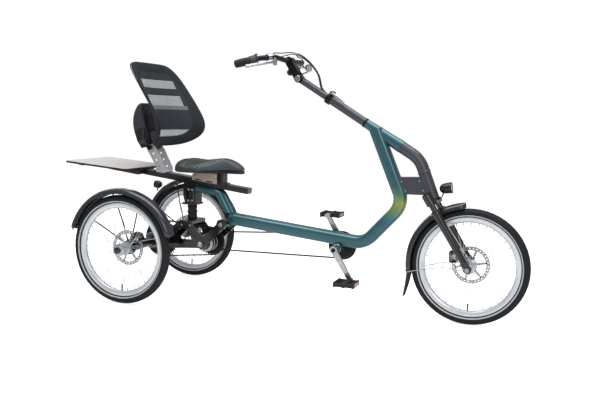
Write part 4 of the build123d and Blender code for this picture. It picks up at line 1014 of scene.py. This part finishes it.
piece("rear_lamp_lens", [tail], "swing_arm", red_lens)

# ---------------------------------------------------------------- seat rail and brackets
# The saddle sits on folded aluminium brackets with a clear anodised, lightly brushed face; the
# bearings are ground steel.
coat(stainless, "bearings")
# Clear anodised sheet: a soft, warm satin metal, and a lighter one behind the seat.
folded_alloy = finish(
    "clear_anodised_sheet", "#bdb0a5", "#aca096", 45, 0.4, 0.7, 0.01, Metallic=0.35
)
light_alloy = finish(
    "light_anodised_sheet", "#cfd0d3", "#bdbec3", 45, 0.38, 0.7, 0.01, Metallic=0.4
)
coat(folded_alloy, "saddle_bracket")
coat(light_alloy, "backrest_bracket")
screws = bolts(((216, 566), (316, 572)), 41.6, 5.4, 3.4)
piece("saddle_bracket_screws", screws, "seat", zinc)
RECLINE_PIN = (-28, 692)
knob = [(0, 12.4), (2, 13), (7, 13), (9, 11), (9, 5), (7, 4.6)]
knobs = both_sides(knob, *RECLINE_PIN, 42.6, 36)
piece("recline_knobs", knobs, "backrest_post", black_alloy)

# ---------------------------------------------------------------- saddle
# A moulded foam saddle under stretch vinyl on a black plastic pan: broad and square at the back,
# dished over the sit bones, humped ahead of them, with a stitched seam across each side.
# Moulded polypropylene: dull black.
pan_plastic = finish("saddle_pan_plastic", "#0e0f10", "#17181a", 20, 0.46, 0.7, 0.03)
SEAM_SLOPE, SEAM_X, SEAM_DEEP, SEAM_WIDE = 1.35, -0.26, 0.0016, 0.0028
STITCH, STITCH_STEP, STITCH_OFF = 2.9, 4.6, 0.0042
SADDLE_X = [145, 149, 158, 175, 200, 240, 275, 310, 346, 380, 415, 438, 448, 452]
SADDLE_HALF = [104, 117, 123, 125.5, 126, 122, 107, 84, 62, 50, 41, 33, 26, 18]
SADDLE_TOP = [632, 642, 645.5, 645, 641.5, 638, 642, 648, 651, 647, 635, 620, 611, 605]
SADDLE_BASE = [584, 584, 584, 584, 585, 587, 590, 593, 596, 596.5, 596.5, 596.5, 596.5, 596.5]
# Stretch vinyl: fine pebbled grain with a soft sheen, green black behind the seam; ahead of it the
# vinyl is painted a lighter slate grey, which is a painted highlight.
vinyl, tree, shader = blank(
    "saddle_vinyl", Specular_IOR_Level=0.45, Coat_Weight=0.12, Coat_Roughness=0.35
)
place = add_node(tree, "TexCoord").outputs["Object"]
along_x = add_node(tree, "SeparateXYZ", {"Vector": place}).outputs["X"]
sideways = add_node(tree, "SeparateXYZ", {"Vector": place}).outputs["Y"]
apart = add_node(tree, "Math", {0: sideways}, operation="ABSOLUTE").outputs["Value"]
sockets = {0: apart, 1: SEAM_SLOPE, 2: along_x}
slanted = add_node(tree, "Math", sockets, operation="MULTIPLY_ADD").outputs["Value"]
# Painted highlight: everything ahead of the seam is painted lighter, as if lit, on one vinyl.
nose_highlight_share = mapped(tree, slanted, (SEAM_X - 0.0015, SEAM_X + 0.0015))
sockets = {"Vector": place, "Scale": 700.0}
leather = add_node(tree, "TexVoronoi", sockets, feature="DISTANCE_TO_EDGE").outputs["Distance"]
worn = add_node(tree, "TexNoise", {"Vector": place, "Scale": 22.0, "Detail": 4.0}).outputs["Fac"]
vinyl_colour = mixed(tree, worn, linear("#252b28"), linear("#333a37"))
# The slate grey ahead of the seam is a painted highlight, not a second colour of vinyl.
nose_painted_highlight = mixed(tree, worn, linear("#353d42"), linear("#424b51"))
tree.links.new(mixed(tree, nose_highlight_share, vinyl_colour, nose_painted_highlight), shader.inputs["Base Color"])
tree.links.new(mapped(tree, worn, result=(0.4, 0.58)), shader.inputs["Roughness"])
emboss(tree, shader, leather, 0.00018, 0.7)


def bent(wave, power):
    """A sine or cosine raised to a power, its sign kept, which squares a circle up."""
    return np.sign(wave) * np.abs(wave) ** power


def saddle_form(shrink, deep):
    """The saddle: at each station along it, a section whose outline is a superellipse, of exponent
    3.2 across and 2.6 upwards, dipping along the middle by a share of a bell curve."""
    x = np.interp(np.linspace(0, 1, 72), np.linspace(0, 1, len(SADDLE_X)), SADDLE_X)
    half = np.interp(x, SADDLE_X, SADDLE_HALF) - shrink
    top = np.interp(x, SADDLE_X, SADDLE_TOP) - shrink
    for values in (half, top):
        values[2:-2] = np.convolve(values, np.ones(5) / 5, "valid")
    a = around(72)[None, :]
    lift = bent(np.sin(a), 2 / 2.6)
    middle = np.interp(x, SADDLE_X, SADDLE_BASE)[:, None] + deep
    x = x[:, None]
    y = half[:, None] * bent(np.cos(a), 2 / 3.2)
    dip = 3.2 * np.exp(-((y / 20) ** 2)) * np.exp(-(((x - 235) / 80) ** 2))
    rise = np.where(lift > 0, (top[:, None] - middle) * lift - dip, deep * lift)
    return skin(spot(x, middle + rise, y), False, True, True)


def positions(mesh):
    """The places of a mesh's points, row by row."""
    flat = np.empty(len(mesh.vertices) * 3)
    mesh.vertices.foreach_get("co", flat)
    return flat.reshape(-1, 3)


def evaluated(made):
    """The object as its modifiers leave it."""
    return made.evaluated_get(bpy.context.evaluated_depsgraph_get())


def settle(made):
    """Makes what the modifiers leave the object's own mesh."""
    mesh = bpy.data.meshes.new_from_object(evaluated(made))
    made.modifiers.clear()
    made.data = mesh
    return mesh


def plump(made, voxel, cap):
    """Puffs a cushion up: its mesh is remeshed in voxels, blown up by Cloth with a pressure of 4
    and no weight for 20 frames, and a point keeps at most a cap of its way out."""
    remesh = made.modifiers.new("even", "REMESH")
    remesh.mode = "VOXEL"
    remesh.voxel_size = voxel
    even = settle(made)
    rest = positions(even)
    held = made.vertex_groups.new(name="held")
    held.add(np.flatnonzero(rest[:, 2] < rest[:, 2].min() + 0.004).tolist(), 1.0, "REPLACE")
    cloth = made.modifiers.new("cloth", "CLOTH")
    cloth.settings.quality = 5
    cloth.settings.use_pressure = True
    cloth.settings.uniform_pressure_force = 4
    cloth.settings.effector_weights.gravity = 0
    cloth.settings.vertex_group_mass = "held"
    for frame_number in range(1, 21):
        scene.frame_set(frame_number)
    way = positions(evaluated(made).data) - rest
    far = np.linalg.norm(way, axis=1, keepdims=True)
    rest = rest + way * np.minimum(1, cap / np.maximum(far, 1e-9))
    made.modifiers.clear()
    scene.frame_set(1)
    even.vertices.foreach_set("co", rest.ravel())
    fine = made.modifiers.new("fine", "SUBSURF")
    fine.levels = fine.render_levels = 1
    smooth = settle(made)
    smooth.shade_smooth()
    return smooth


form = [saddle_form(2.5, 9)]
cushion = piece("saddle_cushion", form, "seat", vinyl, ("saddle",), 180)
smooth = plump(cushion, 0.005, 0.005)
spots = positions(smooth)
from_seam = spots[:, 0] + SEAM_SLOPE * np.abs(spots[:, 1]) - SEAM_X
spots[:, 2] -= SEAM_DEEP * np.exp(-((from_seam / SEAM_WIDE) ** 2)) * (spots[:, 2] > 0.598)
spots[:, 2] = np.clip(spots[:, 2], 0.5835, 0.654)
smooth.vertices.foreach_set("co", spots.ravel())
smooth.update()

# Polyester thread: short pale dashes along both sides of the seam.
thread = finish("seam_thread", "#b4bbbe", "#9aa3a7", 5, 0.6)
stitches = []
for hand in (-1, 1):
    for offset in (-STITCH_OFF, STITCH_OFF):
        for y in np.arange(30, 116, STITCH_STEP):
            ends = []
            for side in (y, y + STITCH):
                above = (SEAM_X + offset - SEAM_SLOPE * side / 1000, hand * side / 1000, 0.75)
                found, point, normal, _ = cushion.ray_cast(above, (0, 0, -1))
                if found:
                    ends.append(np.array(point) + np.array(normal) * 0.0003)
            if len(ends) == 2:
                stitches.append(rod(*ends, 0.9, 5))
piece("saddle_stitches", stitches, "seat", thread)
x = np.linspace(158, 444, 40)
pan_half = np.interp(x, SADDLE_X, SADDLE_HALF) - np.interp(x, [158, 200, 444], [24, 26, 9])
a = around(40)[None, :]
pan_y = pan_half[:, None] * bent(np.cos(a), 0.5)
pan = skin(spot(x[:, None], 590.5 + 8 * bent(np.sin(a), 0.5), pan_y), False, True, True)
piece("saddle_pan", [pan], "seat", pan_plastic, (), 50)

# ---------------------------------------------------------------- backrest
# A woven mesh is stretched over a padded hoop that wraps round the sitter; a lumbar pad and sewn
# bands show through it, and a moulded housing behind carries the height button.
BACK_LOW, BACK_HALF_HEIGHT, BACK_MIDDLE = 698, 198, 896
# Height, then how far ahead the edge and the middle are, and half the width.
ROWS = np.array([
    (698, 96, 26, 198), (735, 130, 28, 206), (792, 140, 26, 210.5), (857, 117, 16, 211),
    (920, 78, 2, 209), (989, 30, -20, 203), (1045, -10, -38, 195), (1094, -50, -54, 184),
])


def back_point(v, a):
    """A place on the backrest's face: a is the height from -1 to 1, v the share of the half width,
    and it comes forward with the square of v. Edge, middle and half width are each the polynomial
    of degree 5 in the height that fits the rows best."""
    z = BACK_LOW + BACK_HALF_HEIGHT * (a + 1)
    edge, centre, half = (
        np.polyval(np.polyfit(ROWS[:, 0] - BACK_MIDDLE, values, 5), z - BACK_MIDDLE)
        for values in ROWS[:, 1:].T
    )
    return spot(centre + (edge - centre) * v**2, z, v * half)


def back_normal(v, a):
    """The direction out of the face towards the sitter, from the slopes along v and a."""
    step = 1e-3
    across = back_point(v + step, a) - back_point(v - step, a)
    along = back_point(v, a + step) - back_point(v, a - step)
    normal = unit(np.cross(across, along))
    return np.where(normal[..., :1] < 0, -normal, normal)


CORNER, TOP_CORNER = 4.4, 7.5


def hoop(inner, outer, thick, lift, sides=22):
    """A hoop between two sizes of one superellipse; its section is a flattened loop, thick across
    the face."""
    t, s = around(160)[:, None], around(sides)[None, :]
    r = (inner + outer) / 2 + (outer - inner) / 2 * bent(np.cos(s), 0.7)
    power = 2 / np.where(np.sin(t) > 0, TOP_CORNER, CORNER)
    v, a = r * bent(np.cos(t), power), r * bent(np.sin(t), power)
    off = (lift + thick / 2 * bent(np.sin(s), 0.8)) / 1000 + 0 * t
    return skin(back_point(v, a) + off[..., None] * back_normal(v, a), True, True)


def padding(left, right, low, high, lift, thick, rows=26, columns=34):
    """A padded panel behind the mesh between two heights, thinner towards its edges."""
    v, a = np.meshgrid(np.linspace(left, right, columns), np.linspace(low, high, rows))
    fall = 1 - np.abs((2 * v - left - right) / (right - left)) ** 8
    fall = fall * (1 - np.abs((2 * a - low - high) / (high - low)) ** 8)
    normal = back_normal(v, a)
    front = back_point(v, a) + normal * (lift / 1000)
    back = front - normal * ((1.2 + (thick - 1.2) * fall) / 1000)[..., None]
    return skin(np.concatenate([front, back[:, ::-1]], axis=1), False, True, True)


# Knitted hoop cover: matt dark grey with a fine pile.
hoop_cloth = finish(
    "hoop_textile", "#1f2326", "#282c2f", 30, 0.75, 1.1, 0.12, Specular_IOR_Level=0.25
)
form = [hoop(0.76, 1.0, 13, -6.5)]
back_hoop = piece(
    "backrest_hoop", form, "backrest", hoop_cloth, ("backrest_shell",), 180
)
fine = back_hoop.modifiers.new("fine", "SUBSURF")
fine.levels = fine.render_levels = 1
piping = [hoop(0.985, 1.004, 4.2, -13, 10)]
piece("backrest_edge", piping, "backrest", pan_plastic, (), 180)

# Stretched spacer mesh: slate yarns with holes between them, so the light behind comes through.
RIB_STEP, YARN_STEP = 0.005, 0.0036
SHEET_SHARE, SHEET_TALL, SHEET_BEHIND, SHEET_CUT = 0.81, 0.965, 0.002, (0.24, 0.205)
weave, tree, shader = blank("stretched_mesh", Roughness=0.6, Specular_IOR_Level=0.3)
flat_place = add_node(tree, "TexCoord").outputs["UV"]
apart = add_node(tree, "SeparateXYZ", {"Vector": flat_place}).outputs
waves = []
for direction, step in (("Y", RIB_STEP), ("X", YARN_STEP)):
    sockets = {0: apart[direction], 1: 2 * pi / step}
    phase = add_node(tree, "Math", sockets, operation="MULTIPLY").outputs[0]
    waves.append(add_node(tree, "Math", {0: phase}, operation="SINE").outputs[0])
woven = add_node(tree, "Math", dict(enumerate(waves)), operation="MAXIMUM").outputs[0]
closed = mapped(tree, woven, (0.1, 0.45), (0.12, 1))
tree.links.new(closed, shader.inputs["Alpha"])
tint = mixed(tree, closed, linear("#53595f"), linear("#343a40"))
tree.links.new(tint, shader.inputs["Base Color"])
emboss(tree, shader, woven, 0.0004)
i, j = np.meshgrid(np.linspace(-1, 1, 60), np.linspace(-1, 1, 60))
wide = (1 - np.abs(SHEET_TALL * j) ** CORNER) ** (1 / CORNER)
v, a = SHEET_SHARE * i * wide, SHEET_SHARE * SHEET_TALL * j
shape = skin(back_point(v, a) - back_normal(v, a) * SHEET_BEHIND)
p, q, r, s = shape[0][np.array(shape[1])].transpose(1, 0, 2)
mesh_sheet = piece("backrest_mesh", shape, "backrest", weave, (), 180)
layer = mesh_sheet.data.uv_layers.new(name="cut")
at_corners = np.empty(len(mesh_sheet.data.loops), dtype=np.int64)
mesh_sheet.data.loops.foreach_get("vertex_index", at_corners)
flat = np.column_stack([v.ravel(), a.ravel()]) * SHEET_CUT
layer.data.foreach_set("uv", flat[at_corners].ravel())

# Brushed textile over foam: matt blue black that hides its edges in the mesh.
lumbar_cloth = finish(
    "lumbar_textile", "#171923", "#1f212b", 30, 0.75, 1.0, 0.1, Specular_IOR_Level=0.25
)
pads = [
    padding(-0.8, 0.8, low, high, -3.2, thick)
    for low, high, thick in ((-0.60, -0.12, 9), (0.23, 0.40, 2.5), (0.60, 0.8, 3))
]
for sides in ((-0.79, -0.7), (0.7, 0.79)):
    pads.append(padding(*sides, -0.76, 0.79, -4.4, 2.6, 60, 8))
lumbar = piece("lumbar_pad", pads, "backrest", lumbar_cloth, (), 60)
# Woven binding: an even grey strip.
strip_cloth = finish("grey_binding", "#6a7076", "#5c6268", 20, 0.6, 1.0, 0.08)
binding = [padding(-0.76, 0.76, -0.11, -0.02, -1.0, 1.6)]
piece("backrest_binding", binding, "backrest", strip_cloth, (), 60)
# Moulded polyamide: a grainy violet grey, duller than the black parts beside it.
housing_plastic = finish("housing_polyamide", "#3d3f4b", "#353743", 60, 0.5, 0.8, 0.04)
POST_ANGLE = radians(76)
post_way = np.array((-cos(POST_ANGLE), 0, sin(POST_ANGLE)))
post_out = np.array((-sin(POST_ANGLE), 0, -cos(POST_ANGLE)))


def on_post(up, out, y=0.0):
    """A place up the backrest's post from the recline pin, and out behind it, in millimetres."""
    return spot(*RECLINE_PIN, y) + (post_way * up + post_out * out) / 1000


def housing(points, half, narrow):
    """A housing: a smooth closed outline in side view, carried across from one side to the other,
    shrinking towards its middle near both sides as a quarter of a superellipse."""
    outline = through(points + [points[0]], 97)[:-1]
    centre = outline.mean(axis=0)
    s = np.linspace(-1, 1, 17)[:, None, None]
    share = 1 - narrow * (1 - (1 - np.abs(s) ** 7) ** (1 / 3))
    up_out = centre + share * (outline - centre)
    grid = on_post(0, 0) + (up_out[..., :1] * post_way + up_out[..., 1:] * post_out) / 1000
    return skin(grid + s * half * (0, 0.001, 0), False, True, True)


case = [
    (8, 44), (50, 58), (100, 64), (150, 56), (190, 34), (214, 6), (206, -8), (150, -6), (60, -6),
    (8, 14),
]
arm = [(66, 0), (150, 0), (158, -20), (166, -70), (120, -69), (82, -66), (74, -20)]
case, arm = [housing(case, 54, 0.2)], [housing(arm, 32, 0.12)]
nodes = ("lumbar_housing",)
piece("lumbar_case", case, "backrest", housing_plastic, nodes, 60)
piece("lumbar_arm", arm, "backrest", pan_plastic)
recess = (
    (4, 40, 52), (44, 54, 54), (92, 57, 54.6), (98, 30, 55), (96, -2, 54.6), (40, -2, 54),
    (6, 12, 52),
)
recesses, ribs = [], []
for hand in (-1, 1):
    side = np.array([on_post(up, out, hand * y) for up, out, y in recess])
    recesses.append(skin(np.stack([side, side - (0, hand * 0.006, 0)]), False, True, True))
    line = [on_post(14, 8, hand * 54.5), on_post(52, 16, hand * 56), on_post(92, 4, hand * 56)]
    ribs.append(swept(through(line, 16), ring(4.6, 12, 2.6), (0, 1, 0)))
piece("lumbar_case_recess", recesses, "backrest", pan_plastic)
piece("lumbar_case_ribs", ribs, "backrest", housing_plastic)
coat(pan_plastic, "height_button")
